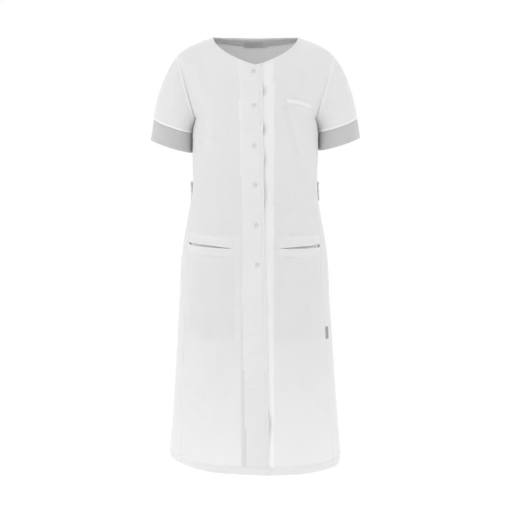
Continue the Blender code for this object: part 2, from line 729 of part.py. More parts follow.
def neck_facing(back, material):
    half = len(NECK_COLUMN_SHARES)
    columns = range(BACK_HALF_COUNT - half, BACK_HALF_COUNT + half + 1)
    rows = []
    for level in (FACING_FOOT_LEVEL, 2 - 1 / UPPER_ROW_COUNT, FACING_TOP_LEVEL):
        turns = [back_turn(column, level) for column in columns]
        rows.append([off_panel(back, turn, level, -(CLOTH + 2 * LAY_GAP)) for turn in turns])
    return Panel("back_neck_facing", rows, CLOTH, material)


def neck_label(name, place, facing, material):
    (x0, x1), (z0, z1) = place["x"], place["z"]
    steps = max(1, round((x1 - x0) / LABEL_STEP))
    depth = CLOTH + 2 * LAY_GAP
    rows = []
    for z in (z0, z1):
        places = [back_place(x1 + (x0 - x1) * i / steps, z) for i in range(steps + 1)]
        rows.append([off_panel(facing, turn, level, -depth) for turn, level in places])
    return Panel(name, rows, LABEL, material)


def side_label(back, material):
    rows = []
    for z in SIDE_LABEL["z"]:
        seam = read_table(BODY_SECTIONS, z, 5)
        swing = math.degrees(SIDE_LABEL["width"] / read_table(BODY_SECTIONS, z, 1))
        turns = [seam + SIDE_LABEL["off_seam"] + swing * i / 2 for i in range(3)]
        rows.append([off_panel(back, turn, z, LABEL + LAY_GAP) for turn in turns])
    return Panel("side_label", rows, LABEL, material)


def belt_stand(column):
    """How far the belt stands off the back at a column: most just inside its ends."""
    near_end = abs(column / BACK_HALF_COUNT - 1)
    return BELT_STAND * math.exp(-(((near_end - BELT_STAND_AT) / BELT_STAND_SPREAD) ** 2))


def half_belt(material):
    rows = []
    for share in BELT_ROW_SHARES:
        z = BELT_TOP_Z - BELT_HEIGHT * share
        row = []
        for column in range(1, 2 * BACK_HALF_COUNT):
            turn = back_turn(column, z)
            here, ahead, behind = (section_point(turn + step, z) for step in (0, 0.5, -0.5))
            outward = unit(np.cross(ahead - behind, (0, 0, 1)))
            row.append(here + outward * (BAND + LAY_GAP + BELT_OVER_FOLDS + belt_stand(column)))
        rows.append(row)
    return Panel("half_belt", rows, BAND, material)


def snap(name, panel, turn, level, material):
    """A low round cap that lies on a panel near the body's point at a turn and level."""
    sides = SNAP_SIDES
    place, normal, *_ = panel.tree.find_nearest(body(wrapped(turn), level))
    seat, direction = np.array(place), np.array(normal)
    right = unit(np.cross((0, 0, 1), direction))
    up = np.cross(direction, right)
    turns = [2 * math.pi * i / sides for i in range(sides)]
    rim = [right * math.cos(turn) + up * math.sin(turn) for turn in turns]
    below = [np.array(panel.tree.find_nearest(seat + SNAP_RADIUS * ring)[0]) for ring in rim]
    highest = max((point - seat) @ direction for point in below)
    seat = seat + direction * (max(highest, 0.0) + 1.5 * LAY_GAP)
    points = []
    for radius, height in SNAP_RINGS:
        points += [seat + ring * SNAP_RADIUS * radius + direction * SNAP_HEIGHT * height for ring in rim]
    faces = [tuple(reversed(range(sides))), tuple(range(2 * sides, 3 * sides))]
    for ring in (0, sides):
        for i in range(sides):
            j = (i + 1) % sides
            faces.append((ring + i, ring + j, ring + sides + j, ring + sides + i))
    add_object(name, points, faces, material)


# ---------------------------------------------------------------- the garment


def main():
    for obj in list(bpy.data.objects):
        bpy.data.objects.remove(obj)

    white = make_material("white_twill", (0.86, 0.86, 0.86), 0.80)
    grey = make_material("grey_twill", (0.58, 0.58, 0.59), 0.80)
    woven = make_material("woven_label", (0.36, 0.36, 0.37), 0.70)
    cap = make_material("snap_cap", (0.84, 0.84, 0.84), 0.35)

    fronts = {side: front_panel(side, white) for side in ("right", "left")}
    back = back_panel(white)
    body_panels = [*fronts.values(), back]
    for side in ("right", "left"):
        body_panels.append(Panel(f"sleeve_{side}", sleeve_rows(side), CLOTH, white, closed=True))
        body_panels.append(Panel(f"cuff_{side}", cuff_rows(side), BAND, grey, closed=True))
    share_seam_directions(body_panels)
    for panel in body_panels:
        panel.draw_in(SEAM_GAP / 2)

    facing = neck_facing(back, white)
    belt = half_belt(white)
    pieces = [
        facing,
        belt,
        pocket_bag(fronts["right"], "right", white),
        pocket_bag(fronts["left"], "left", white),
        chest_welt(fronts["left"], white),
        neck_label("neck_label", NECK_LABEL, facing, woven),
        neck_label("size_tab", SIZE_TAB, facing, white),
        side_label(back, woven),
    ]
    for panel in body_panels + pieces:
        panel.build()

    for number, (x, z) in enumerate(SNAPS, start=1):
        snap(f"snap_{number}", fronts["right"], *front_place(x, z), cap)
    belt_middle_z = BELT_TOP_Z - BELT_HEIGHT / 2
    snap("belt_snap_left", belt, BELT_SNAP_TURN, belt_middle_z, cap)
    snap("belt_snap_right", belt, -BELT_SNAP_TURN, belt_middle_z, cap)


main()
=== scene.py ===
import json
import math

import bmesh
import bpy
import numpy as np
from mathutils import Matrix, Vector
from mathutils.bvhtree import BVHTree

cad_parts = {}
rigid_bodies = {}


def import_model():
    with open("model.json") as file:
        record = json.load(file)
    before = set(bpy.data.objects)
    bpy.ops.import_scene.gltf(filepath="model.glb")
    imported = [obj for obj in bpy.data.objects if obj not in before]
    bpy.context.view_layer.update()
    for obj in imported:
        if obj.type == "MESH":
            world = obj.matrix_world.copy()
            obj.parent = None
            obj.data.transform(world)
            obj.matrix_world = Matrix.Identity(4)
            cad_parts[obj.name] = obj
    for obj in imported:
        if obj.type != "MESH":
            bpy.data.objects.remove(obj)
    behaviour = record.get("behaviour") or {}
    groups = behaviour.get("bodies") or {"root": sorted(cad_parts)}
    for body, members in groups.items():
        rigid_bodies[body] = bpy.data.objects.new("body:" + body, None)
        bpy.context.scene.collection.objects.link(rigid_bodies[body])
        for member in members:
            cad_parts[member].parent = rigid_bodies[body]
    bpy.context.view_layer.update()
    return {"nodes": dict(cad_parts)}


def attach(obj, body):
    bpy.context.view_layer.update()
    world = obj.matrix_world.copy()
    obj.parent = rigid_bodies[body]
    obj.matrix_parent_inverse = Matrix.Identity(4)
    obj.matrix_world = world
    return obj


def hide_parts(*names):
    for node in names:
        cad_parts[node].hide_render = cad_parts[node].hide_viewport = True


for leftover in list(bpy.data.objects):
    bpy.data.objects.remove(leftover)
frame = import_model()
print("frame loaded:", len(frame["nodes"]), "nodes")

# The garment's form: the same surface as the solids, read at any turn round the body and any level.
form = {
    "columns": ("z", "halfWidth", "frontDepth", "backDepth", "fullness", "seamTurn", "middle"),
    "sections": np.array([
        (-1.0200, 0.2150, 0.152, 0.142, 0.10, 59.0, 0.0010),
        (-0.9850, 0.2130, 0.151, 0.141, 0.10, 60.0, 0.0010),
        (-0.9100, 0.2064, 0.148, 0.136, 0.10, 62.0, 0.0006),
        (-0.8100, 0.1982, 0.143, 0.131, 0.10, 65.0, -0.0002),
        (-0.7100, 0.1913, 0.138, 0.126, 0.10, 64.0, -0.0014),
        (-0.6100, 0.1850, 0.132, 0.122, 0.12, 64.0, -0.0022),
        (-0.5300, 0.1803, 0.128, 0.119, 0.14, 63.0, -0.0026),
        (-0.4800, 0.1755, 0.125, 0.116, 0.15, 64.0, -0.0024),
        (-0.4400, 0.1696, 0.122, 0.110, 0.16, 67.0, -0.0026),
        (-0.4000, 0.1625, 0.119, 0.101, 0.16, 72.0, -0.0026),
        (-0.3740, 0.1576, 0.117, 0.094, 0.16, 77.0, -0.0022),
        (-0.3450, 0.1530, 0.117, 0.087, 0.17, 81.0, -0.0014),
        (-0.3100, 0.1508, 0.119, 0.086, 0.17, 83.0, -0.0012),
        (-0.2750, 0.1508, 0.125, 0.092, 0.18, 83.0, -0.0010),
        (-0.2400, 0.1515, 0.132, 0.098, 0.19, 85.0, -0.0004),
        (-0.2000, 0.1505, 0.136, 0.101, 0.19, 86.0, 0.0),
        (-0.1650, 0.1450, 0.134, 0.103, 0.18, 86.0, 0.0),
    ]),
    "hem": -0.9955,
    "hemFrontDrop": 0.0097,
    "hemLeftDrop": 0.0058,
    "frontReach": 0.15,
    "sideReach": 0.2,
    "underarm": -0.165,
    "sideTurn": 86.0,
    "neckX": 0.102,
    "frontNeck": np.array([(0.0, -0.0415), (0.045, -0.0285), (0.098, 0.0), (0.102, 0.03)]),
    "backNeck": np.array([(0.0, 0.032), (0.055, 0.0335), (0.09, 0.03), (0.102, 0.03)]),
    "shoulder": np.array(
        [(0.102, 0.0, 0.03), (0.126, 0.001, 0.022), (0.163, 0.003, 0.011), (0.187, 0.005, -0.0125)]
    ),
    "overNeck": np.array([(0.0, 0.0, 0.058), (0.035, 0.0, 0.054), (0.078, -0.001, 0.038), (0.102, 0.0, 0.03)]),
    "columnLean": (0.12, 0.30),
    # across, how a column leaves the underarm (out, up) and reaches the shoulder (out, down)
    "frontColumns": np.array([
        (0.00, 0.004, 0.060, 0.100, 0.050),
        (0.50, 0.002, 0.070, 0.047, 0.022),
        (0.80, 0.020, 0.056, 0.056, 0.026),
        (1.00, 0.054, 0.012, 0.062, 0.040),
    ]),
    "backColumns": np.array([
        (0.00, 0.006, 0.066, 0.115, 0.002),
        (0.20, 0.007, 0.072, 0.106, 0.002),
        (0.32, 0.008, 0.076, 0.080, 0.008),
        (0.44, 0.008, 0.078, 0.058, 0.013),
        (0.80, 0.026, 0.058, 0.055, 0.018),
        (1.00, 0.062, 0.012, 0.064, 0.042),
    ]),
}
form["neckRatio"] = form["neckX"] / form["shoulder"][3, 0]
backSideTurn = form["sideTurn"] + 1e-6

# Folds that the solids have as well, in millimetres: x and z of both ends, spread, height.
bigFolds = {
    "front": [
        (-114, -150, -124, -225, 13, -3.2), (-98, -150, -110, -260, 16, 2.2),
        (70, -150, 94, -240, 13, -2.8), (92, -150, 112, -235, 16, 2.2),
        (130, -30, 104, -85, 16, -2.2), (-128, -35, -106, -90, 16, -1.8),
        (105, -800, 140, -880, 24, -3.5), (-150, -850, -90, -905, 24, -3),
        (-80, -720, -85, -990, 30, 3), (85, -740, 95, -990, 30, 2.8),
    ],
    "back": [
        (-85, -230, -70, -460, 17, -5), (-42, -260, -34, -430, 15, 2.4),
        (-6, -245, -2, -450, 15, -4.4), (32, -260, 28, -430, 15, 2.2),
        (68, -235, 60, -465, 17, -4.6), (104, -270, 96, -420, 16, 2),
        (-105, -640, -125, -990, 34, -4.5), (98, -620, 122, -990, 34, -4.2),
        (-60, -60, -100, -150, 20, -2.8), (66, -55, 104, -150, 20, -2.6),
    ],
}

# Softer creases laid in the same way, finer than the solids show.
softCreases = {
    "front": [
        (-118, -152, -121, -212, 5.5, -3.4), (-110, -150, -128, -262, 6, 2.2),
        (70, -146, 94, -238, 6, -3.2), (83, -148, 106, -232, 6.5, 1.2),
        (130, -12, 104, -66, 7.5, -2.4), (-130, -16, -112, -60, 8, -1.2),
        (-136, -120, -122, -160, 6, -2.4), (136, -118, 120, -156, 6, -1.5),
        (-45, -600, 14, -606, 5, -1.6), (-30, -672, 18, -662, 4.8, -2),
        (-28, -722, 22, -706, 5, -2.2), (-26, -778, 24, -762, 5, -2),
        (-16, -800, 14, -794, 4.5, -1.6), (-20, -948, 24, -936, 6, -1.8),
        (-32, -484, 13, -494, 4.5, -0.8), (-166, -806, -128, -818, 7.5, -2.6),
        (-166, -828, -136, -832, 8, 1.6), (-170, -852, -120, -884, 8, -2.6),
        (104, -785, 168, -872, 8, -2.6), (112, -776, 172, -850, 9, 1),
        (-60, -120, -66, -300, 16, 0.8), (50, -170, 55, -330, 15, -0.8),
        (-135, -270, -120, -400, 14, -1.1), (137, -262, 122, -395, 14, -1.1),
        (-95, -300, -88, -440, 13, 0.8), (92, -310, 83, -440, 13, 0.8),
        (-118, -500, -128, -700, 18, 1), (120, -500, 132, -690, 18, 0.9),
    ],
    "back": [
        (-120, -110, -90, -220, 8, -1.5), (118, -105, 86, -225, 8.5, -1.5),
        (-60, -300, -52, -318, 7, -1.2), (-100, -366, -94, -470, 8, -1.8),
        (-50, -366, -46, -480, 7.5, -1.7), (12, -366, 14, -490, 8, -1.8),
        (46, -366, 50, -470, 7, -1.4), (90, -366, 84, -480, 8, -1.7),
        (-78, -230, -72, -318, 8, -1.6), (-20, -220, -12, -318, 7.5, -1.4),
        (58, -225, 54, -318, 8, -1.6), (-150, -800, -90, -860, 9, -1.4),
        (100, -780, 160, -850, 9, -1.4), (-30, -560, -36, -980, 26, 2.2),
        (46, -580, 52, -980, 26, 2),
    ],
}


def unit(vectors):
    return vectors / np.maximum(np.linalg.norm(vectors, axis=-1, keepdims=True), 1e-12)


def bell(distance, spread):
    return np.exp(-((distance / spread) ** 2))


def fade(distance, width):  # 0 at a line, 1 at the width and beyond
    return np.clip(distance / width, 0, 1)


def mix(a, b, share):
    return a + (b - a) * share


def readRows(rows, column, key):  # a table's column, read smoothly at any value of its first one
    keys, values = rows[:, 0], rows[:, column]
    slopes = np.gradient(values, keys)
    key = np.asarray(key, float)
    i = np.clip(np.searchsorted(keys, key) - 1, 0, len(keys) - 2)
    span = keys[i + 1] - keys[i]
    t = np.clip((key - keys[i]) / span, 0, 1)
    step = (values[i + 1] - values[i]) * t * t * (3 - 2 * t)
    return values[i] + step + span * slopes[i] * t * (1 - t) ** 2 - span * slopes[i + 1] * t * t * (1 - t)


def section(what, z):
    return readRows(form["sections"], form["columns"].index(what), z)


def curveAt(a, b, c, d, t):
    return a * (1 - t) ** 3 + 3 * b * t * (1 - t) ** 2 + 3 * c * t * t * (1 - t) + d * t**3


def curveAtX(corners, x):  # the point of a curve that runs outwards, where it reaches x
    x = np.asarray(x, float)
    low, high = np.zeros_like(x), np.ones_like(x)
    for _ in range(26):
        t = (low + high) / 2
        short = curveAt(*corners[:, 0], t) < x
        low, high = np.where(short, t, low), np.where(short, high, t)
    return curveAt(*corners, ((low + high) / 2)[..., None])


def lineOver(x, z, x0, z0, x1, z1):  # share along a line, and distance from it
    run = np.array([x1 - x0, z1 - z0])
    along = np.clip(((x - x0) * run[0] + (z - z0) * run[1]) / (run @ run), 0, 1)
    return along, np.hypot(x - x0 - along * run[0], z - z0 - along * run[1])


def creaseHeight(rows, x, z):
    total = np.zeros(np.broadcast(x, z).shape)
    for row in rows:
        *line, spread, height = (value / 1000 for value in row)
        total += height * bell(lineOver(x, z, *line)[1], spread)
    return total


def foldLift(x, z, front):
    return np.where(front, -creaseHeight(bigFolds["front"], x, z), creaseHeight(bigFolds["back"], x, z))


def sectionPoint(turn, z):
    side, ahead = np.sin(np.radians(turn)), np.cos(np.radians(turn))
    depth = np.where(ahead > 0, section("frontDepth", z), section("backDepth", z))
    x = section("middle", z) + section("halfWidth", z) * side
    y = -depth * ahead * (1 + section("fullness", z) * side * side)
    return np.stack(np.broadcast_arrays(x, y, z), axis=-1)


def lowerBody(turn, z):
    point = sectionPoint(turn, z)
    point[..., 1] += foldLift(point[..., 0], point[..., 2], np.abs(turn) < 90)
    low = fade(form["underarm"] - point[..., 2], form["underarm"] - form["hem"])
    ahead = fade(-point[..., 1], form["frontReach"])  # 1 at the front of the skirt
    leftward = point[..., 0] / form["sideReach"]
    point[..., 2] -= (form["hemFrontDrop"] * ahead + form["hemLeftDrop"] * leftward) * low**4
    return point


def upperBody(turn, rise):
    turn, rise = np.broadcast_arrays(np.asarray(turn, float), np.asarray(rise, float))
    sign, turn = np.where(turn < 0, -1.0, 1.0), np.abs(turn)
    front = turn <= form["sideTurn"]
    outward = np.where(front, -1.0, 1.0)
    across = np.where(front, turn, 180 - turn) / np.where(front, form["sideTurn"], 180 - form["sideTurn"])
    start = sectionPoint(turn, np.full_like(turn, form["underarm"]))
    ratio = start[..., 0] / sectionPoint(form["sideTurn"], form["underarm"])[0]
    reachX = ratio * form["shoulder"][3, 0]
    opening = ratio < form["neckRatio"] - 1e-9
    overNeck = curveAtX(form["overNeck"], np.minimum(reachX, form["neckX"]))
    end = np.where(opening[..., None], overNeck, curveAtX(form["shoulder"], np.maximum(reachX, form["neckX"])))
    frontBack = [[readRows(form[key], i, across) for i in range(1, 5)] for key in ("frontColumns", "backColumns")]
    leave = [np.where(front, *pair) for pair in zip(*frontBack)]
    lean = end[..., 0] - start[..., 0]
    leanLow, leanHigh = form["columnLean"]
    second = start + np.stack([leanLow * lean, outward * leave[0], leave[1]], axis=-1)
    third = end + np.stack([-leanHigh * lean, outward * leave[2], -leave[3]], axis=-1)
    low, high = np.zeros_like(turn), np.ones_like(turn)
    for _ in range(22):  # the neck edge cuts the columns that aim over the opening
        share = (low + high) / 2
        point = curveAt(start, second, third, end, share[..., None])
        edges = [curveAtX(form[key], point[..., 0])[..., 1] for key in ("frontNeck", "backNeck")]
        below = point[..., 2] < np.where(front, *edges)
        low, high = np.where(below, share, low), np.where(below, high, share)
    share = np.where(opening, high, 1.0)
    plain = curveAt(start, second, third, end, (rise * share)[..., None])
    plain[..., 0] *= sign
    keep = (1 - across**6) * (1 - rise**8)  # folds die out at the armhole and at the top
    plain[..., 1] += foldLift(plain[..., 0], plain[..., 2], front) * keep
    return plain


def body(turn, level):  # level is a height below the underarm, and 1 to 2 above it
    turn, level = np.broadcast_arrays(np.asarray(turn, float), np.asarray(level, float))
    turn = (turn + 180) % 360 - 180
    low = level <= form["underarm"] + 1e-9
    points = np.zeros(turn.shape + (3,))
    if low.any():
        points[low] = lowerBody(turn[low], level[low])
    if (~low).any():
        points[~low] = upperBody(turn[~low], level[~low] - 1)
    return points


def turnAtX(x, z):
    return np.degrees(np.arcsin((x - section("middle", z)) / section("halfWidth", z)))


def gridNormals(points, closed=False):
    around = np.gradient(points, axis=1)
    if closed:
        around = np.roll(points, -1, axis=1) - np.roll(points, 1, axis=1)
    return unit(np.cross(around, np.gradient(points, axis=0)))


def edgeDistances(points):  # how far each point is from the first and last column and row
    across = np.linalg.norm(np.diff(points, axis=1), axis=2)
    along = np.linalg.norm(np.diff(points, axis=0), axis=2)
    left = np.concatenate([np.zeros((len(points), 1)), np.cumsum(across, axis=1)], axis=1)
    low = np.concatenate([np.zeros((1, points.shape[1])), np.cumsum(along, axis=0)], axis=0)
    return left, left[:, -1:] - left, low, low[-1:] - low


def softWaves(points, size, seed):  # uneven soft relief from about -1 to 1, the same for every piece at a place
    rng = np.random.default_rng(seed)
    total = np.zeros(points.shape[:-1])
    for _ in range(10):
        heading = unit(rng.normal(size=3))
        length = size * rng.uniform(0.6, 1.7)
        total += np.sin(points @ heading * 2 * math.pi / length + rng.uniform(0, 2 * math.pi))
    return total / 5


def gridFaces(rows, columns, closed=False, holes=None, reverse=False):
    faces = []
    for i in range(rows - 1):
        for j in range(columns if closed else columns - 1):
            if holes is None or not holes[i, j]:
                k = (j + 1) % columns
                quad = (i * columns + j, i * columns + k, (i + 1) * columns + k, (i + 1) * columns + j)
                faces.append(quad[::-1] if reverse else quad)
    return faces


def treeOf(points):
    return BVHTree.FromPolygons(points.reshape(-1, 3).tolist(), gridFaces(*points.shape[:2]))


def clothMap(points):  # place on the cloth in metres, for the weave
    left, _, low, _ = edgeDistances(points)
    middle = points.shape[1] // 2
    return np.stack([left - left[:, middle : middle + 1], low], axis=-1)


def linked(name, data):
    thing = bpy.data.objects.new(name, data)
    bpy.context.scene.collection.objects.link(thing)
    return thing


def placed(name, mesh, material, part=None):  # a finished mesh as a piece, on the one body that the tunic has
    mesh.materials.append(finish[material])
    mesh.shade_smooth()
    piece = linked(name, mesh)
    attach(piece, "root")
    if part:
        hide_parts(part)
    return piece


def meshFrom(name, parts, material, part, wall, rounding=0.0):
    # parts are grids of points with their cloth map, tone of painted light where the cloth is doubled, closed flag and
    # holes, welded into one mesh
    mesh, points, faces, flat, doubledLightTone = bpy.data.meshes.new(name), [], [], [], []
    for grid, uv, tone, closed, holes, *reverse in parts:
        start = sum(len(p) for p in points)
        found = gridFaces(*grid.shape[:2], closed, holes, *reverse)
        faces += [tuple(start + i for i in face) for face in found]
        points.append(grid.reshape(-1, 3))
        flat.append(uv.reshape(-1, 2))
        doubledLightTone.append(np.broadcast_to(tone, grid.shape[:2]).reshape(-1))
    points, flat, doubledLightTone = np.vstack(points), np.vstack(flat), np.concatenate(doubledLightTone)
    mesh.from_pydata(points.tolist(), [], faces)
    corners = np.zeros(len(mesh.loops), int)
    mesh.loops.foreach_get("vertex_index", corners)
    mesh.uv_layers.new(name="cloth").data.foreach_set("uv", flat[corners].astype(np.float32).ravel())
    mesh.attributes.new("doubledLightTone", "FLOAT", "POINT").data.foreach_set("value", doubledLightTone.astype(np.float32))
    work = bmesh.new()
    work.from_mesh(mesh)
    bmesh.ops.remove_doubles(work, verts=work.verts, dist=1e-5)
    bmesh.ops.delete(work, geom=[v for v in work.verts if not v.link_faces], context="VERTS")
    work.to_mesh(mesh)
    work.free()
    piece = placed(name, mesh, material, part)
    shell = piece.modifiers.new("cloth wall", "SOLIDIFY")
    shell.thickness, shell.offset, shell.use_even_offset = wall, -1, False
    if rounding:
        bevel = piece.modifiers.new("soft edge", "BEVEL")
        bevel.width, bevel.segments, bevel.limit_method, bevel.angle_limit = rounding, 2, "ANGLE", math.radians(50)
    return piece


cloths = {}  # each piece of cloth with its surface, by the name of its solid


def keepCloth(part, piece, points, normals, low, high, **more):
    cloths[part] = {"piece": piece, "points": points, "normals": normals, "low": low, "high": high, **more}


def makeCloth(name, part, points, tone, material, wall, rounding=0.0, closed=False, ends=None):
    piece = meshFrom(name, [(points, clothMap(points), tone, closed, None)], material, part, wall, rounding)
    low, high = ends or edgeDistances(points)[2:]
    keepCloth(part, piece, points, gridNormals(points, closed), low, high)


def turnedIn(grids, edge, step, inside, depth, reverse):
    # a strip that rolls over an edge and lies along the inner face; its first row is the edge itself
    points, normals, flat = grids
    outward = unit(points[edge] - points[edge + 2 * step])
    rows, maps = [points[edge]], [flat[edge]]
    for turn in (45, 90, 135, 180):
        bow, sink = math.sin(math.radians(turn)), 1 - math.cos(math.radians(turn))
        rows.append(points[edge] + outward * depth / 2 * bow - normals[edge] * depth / 2 * sink)
        maps.append(flat[edge] - np.array([0.0, 0.0008]))
    rows += list(points[inside] - normals[inside] * depth)
    # the strip lies doubled under the cloth, so it gets the full painted light of doubled cloth
    return np.array(rows), np.array(maps + list(flat[inside])), 1.0, False, None, reverse


# Finishes: cloth as twill, labels as ribbon, snaps as enamelled caps.
clothValues = {
    "ribs": 500.0,  # ribs and slubs a metre
    "ribAngle": 63,
    "ribDepth": 0.0001,
    "rib": 0.35,
    "slubs": (1400.0, 60.0),
    "mottleScale": 7.0,
    "mottle": 0.012,
    "threadTone": 0.02,
    "roughness": 0.82,
    "roughnessSpread": 0.06,
    "sheen": 0.12,
    "crinkleScale": 38.0,
    "crinkle": 0.16,
    "crinkleDepth": 0.002,
    "shineThrough": 0.8,  # light from behind shines through the cloth
    "shineReach": 0.0018,
}
labelValues = {**clothValues, "ribs": 800.0, "ribAngle": 0, "mottle": 0.03, "threadTone": 0.06}
labelValues.update(roughness=0.62, crinkle=0.05)
threadValues = {**clothValues, "ribs": 900.0, "mottle": 0.02, "crinkle": 0.0}
weaves = {  # colour, colour where the cloth is doubled (painted light: doubled cloth lets less light through, so it is painted lighter), values
    "whiteTwill": ((0.758, 0.758, 0.761), (0.915, 0.915, 0.918), clothValues),
    # painted light: the neck facing is the same white cloth, painted much lighter to lift the shade inside the neck
    "facingTwillPaintedLight": ((0.95, 0.95, 0.95), (0.95, 0.95, 0.95), {**clothValues, "shineThrough": 1.0}),
    "greyTwill": ((0.56, 0.56, 0.568), (0.575, 0.575, 0.583), {**clothValues, "mottle": 0.02}),
    # painted light: the neck label is the same dark grey as the side label, painted lighter to offset the shade inside
    # the neck
    "neckLabelWeavePaintedLight": ((0.66, 0.66, 0.665), (0.72, 0.72, 0.725), labelValues),
    "sideLabelWeave": ((0.34, 0.34, 0.345), (0.34, 0.34, 0.345), labelValues),
    "tabWeave": ((0.93, 0.93, 0.93), (0.93, 0.93, 0.93), labelValues),
    "sewingThread": ((0.81, 0.81, 0.81), (0.81, 0.81, 0.81), threadValues),
}
capValues = {
    "colour": (0.61, 0.61, 0.61),
    "scuffScale": 260.0,
    "scuff": 0.97,
    "roughness": 0.38,
    "dents": 0.1,
    "dentDepth": 0.0002,
}


def node(tree, kind, inputs=(), **settings):  # an input takes a value or another node's output
    made = tree.nodes.new(kind)
    for key, value in settings.items():
        setattr(made, key, value)
    fill(tree, made, inputs)
    return made


def fill(tree, made, inputs):
    for key, value in dict(inputs).items():
        if isinstance(value, bpy.types.NodeSocket):
            tree.links.new(value, made.inputs[key])
        else:
            made.inputs[key].default_value = value


def startMaterial(name):
    material = bpy.data.materials.new(name)
    material.use_nodes = True
    return material, material.node_tree


def stretched(tree, place, scale, turn=0.0):
    inputs = {"Vector": place, "Scale": scale, "Rotation": (0, 0, math.radians(turn))}
    return node(tree, "ShaderNodeMapping", inputs).outputs["Vector"]


def noise(tree, place, scale, detail, roughness=0.5):
    inputs = {"Vector": place, "Scale": scale, "Detail": detail, "Roughness": roughness}
    return node(tree, "ShaderNodeTexNoise", inputs).outputs["Fac"]


def ranged(tree, value, low, high, start=0.0, end=1.0):
    inputs = {"Value": value, "From Min": start, "From Max": end, "To Min": low, "To Max": high}
    return node(tree, "ShaderNodeMapRange", inputs).outputs["Result"]


def toned(tree, value, start, end, *colours):
    ramp = node(tree, "ShaderNodeValToRGB", {"Fac": value})
    for element, place, colour in zip(ramp.color_ramp.elements, (start, end), colours):
        element.position, element.color = place, (*colour, 1)
    return ramp.outputs["Color"]


def bumped(tree, height, strength, distance, below=None):
    inputs = {"Height": height, "Strength": strength, "Distance": distance}
    return node(tree, "ShaderNodeBump", {**inputs, **({"Normal": below} if below else {})}).outputs["Normal"]


def twill(name, colour, doubledLitColour, values):
    material, tree = startMaterial(name)
    place = node(tree, "ShaderNodeTexCoord").outputs["Object"]
    flat = node(tree, "ShaderNodeUVMap", uv_map="cloth").outputs["UV"]
    # threads: a diagonal rib and the two thread directions, in metres on the cloth
    ribbing = stretched(tree, flat, (values["ribs"], values["ribs"], 1), values["ribAngle"])
    waves = {"Vector": ribbing, "Scale": 1.0, "Distortion": 0.6, "Detail": 1.0}
    ribs = node(tree, "ShaderNodeTexWave", waves).outputs["Fac"]
    fine, long = values["slubs"]
    slubs = [noise(tree, stretched(tree, flat, scale), 1.0, 2.0) for scale in ((fine, long, 1.0), (long, fine, 1.0))]
    slub = node(tree, "ShaderNodeMix", {2: slubs[0], 3: slubs[1]}, data_type="FLOAT").outputs[0]
    # colour: uneven tone over the cloth, painted lighter where it is doubled (painted light: doubled cloth lets less
    # light through and looks whiter), and thread by thread
    mottle = noise(tree, place, values["mottleScale"], 3.0, 0.55)
    dark, light = ([min(1, c * (1 + way * values["mottle"])) for c in colour] for way in (-1, 1))
    tones = toned(tree, mottle, 0.3, 0.7, dark, light)
    doubledLightMask = node(tree, "ShaderNodeAttribute", attribute_name="doubledLightTone").outputs["Fac"]
    overlay = node(tree, "ShaderNodeMix", {"Factor": doubledLightMask, 6: tones, 7: (*doubledLitColour, 1)}, data_type="RGBA").outputs[2]
    threads = ranged(tree, slub, 1 - values["threadTone"], 1 + values["threadTone"], 0.3, 0.7)
    tinted = node(tree, "ShaderNodeVectorMath", {0: overlay, "Scale": threads}, operation="SCALE").outputs["Vector"]
    # surface: matt, with a faint sheen, fine ribs and the small crinkles of washed cloth
    matt, spread = values["roughness"], values["roughnessSpread"]
    crinkle = noise(tree, place, values["crinkleScale"], 4.0, 0.6)
    crinkled = bumped(tree, crinkle, values["crinkle"], values["crinkleDepth"])
    ribbed = bumped(tree, ribs, values["rib"], values["ribDepth"], crinkled)
    fill(tree, tree.nodes["Principled BSDF"], {
        "Base Color": tinted,
        "Roughness": ranged(tree, mottle, matt - spread, matt + spread),
        "Sheen Weight": values["sheen"],
        "Sheen Roughness": 0.6,
        "Specular IOR Level": 0.25,
        "Subsurface Weight": values["shineThrough"],
        "Subsurface Radius": (1, 1, 1),
        "Subsurface Scale": values["shineReach"],
        "Normal": bumped(tree, slub, values["rib"], values["ribDepth"], ribbed),
    })
    return material


def moulded(name, colour, values):
    material, tree = startMaterial(name)
    place = node(tree, "ShaderNodeTexCoord").outputs["Object"]
    scuff = noise(tree, place, values["scuffScale"], 3.0)
    fill(tree, tree.nodes["Principled BSDF"], {
        "Base Color": toned(tree, scuff, 0.35, 0.65, [c * values["scuff"] for c in colour], colour),
        "Roughness": ranged(tree, scuff, values["roughness"] - 0.05, values["roughness"] + 0.08),
        "Normal": bumped(tree, scuff, values["dents"], values["dentDepth"]),
    })
    return material


finish = {name: twill(name, *values) for name, values in weaves.items()}
finish["snapCap"] = moulded("snapCap", capValues["colour"], capValues)
print("finishes made")

cut = {  # shared by the two fronts and the back
    "neckShares": (0.0, 0.2, 0.4, 0.6, 0.78, 0.91),
    "shoulderSteps": 5,
    "lastTurn": 78.0,
    "wall": 0.0006,
    "turning": 0.0013,
    "hemBand": 0.0185,
    "hemRise": 0.00025,
    "neckStitch": 0.006,
    "stitchDip": 0.0004,
    "stitchReach": 0.0009,
    "skirtRows": 150,
    "hipRows": 76,
    "chestRows": 56,
    "belowMouth": -0.497,
    "aboveMouth": -0.445,
    "shoulderX": 0.1015,
    "closeRows": (-0.0014, -0.0005, 0.0005, 0.0014),
    "seamDip": 0.0006,
    "seamReach": 0.0016,
    "sideSeam": 0.7,
    "armholeDip": {"right": 0.7, "left": 0.25},
    "pucker": 0.0002,
    "puckerReach": 0.01,
    "puckerLength": 0.012,
    "waves": 0.0009,
    "waveSizes": (0.11, 0.035),
    "skirtWaves": 0.0016,
    "skirtTop": -0.52,
    "skirtReach": 0.45,
}
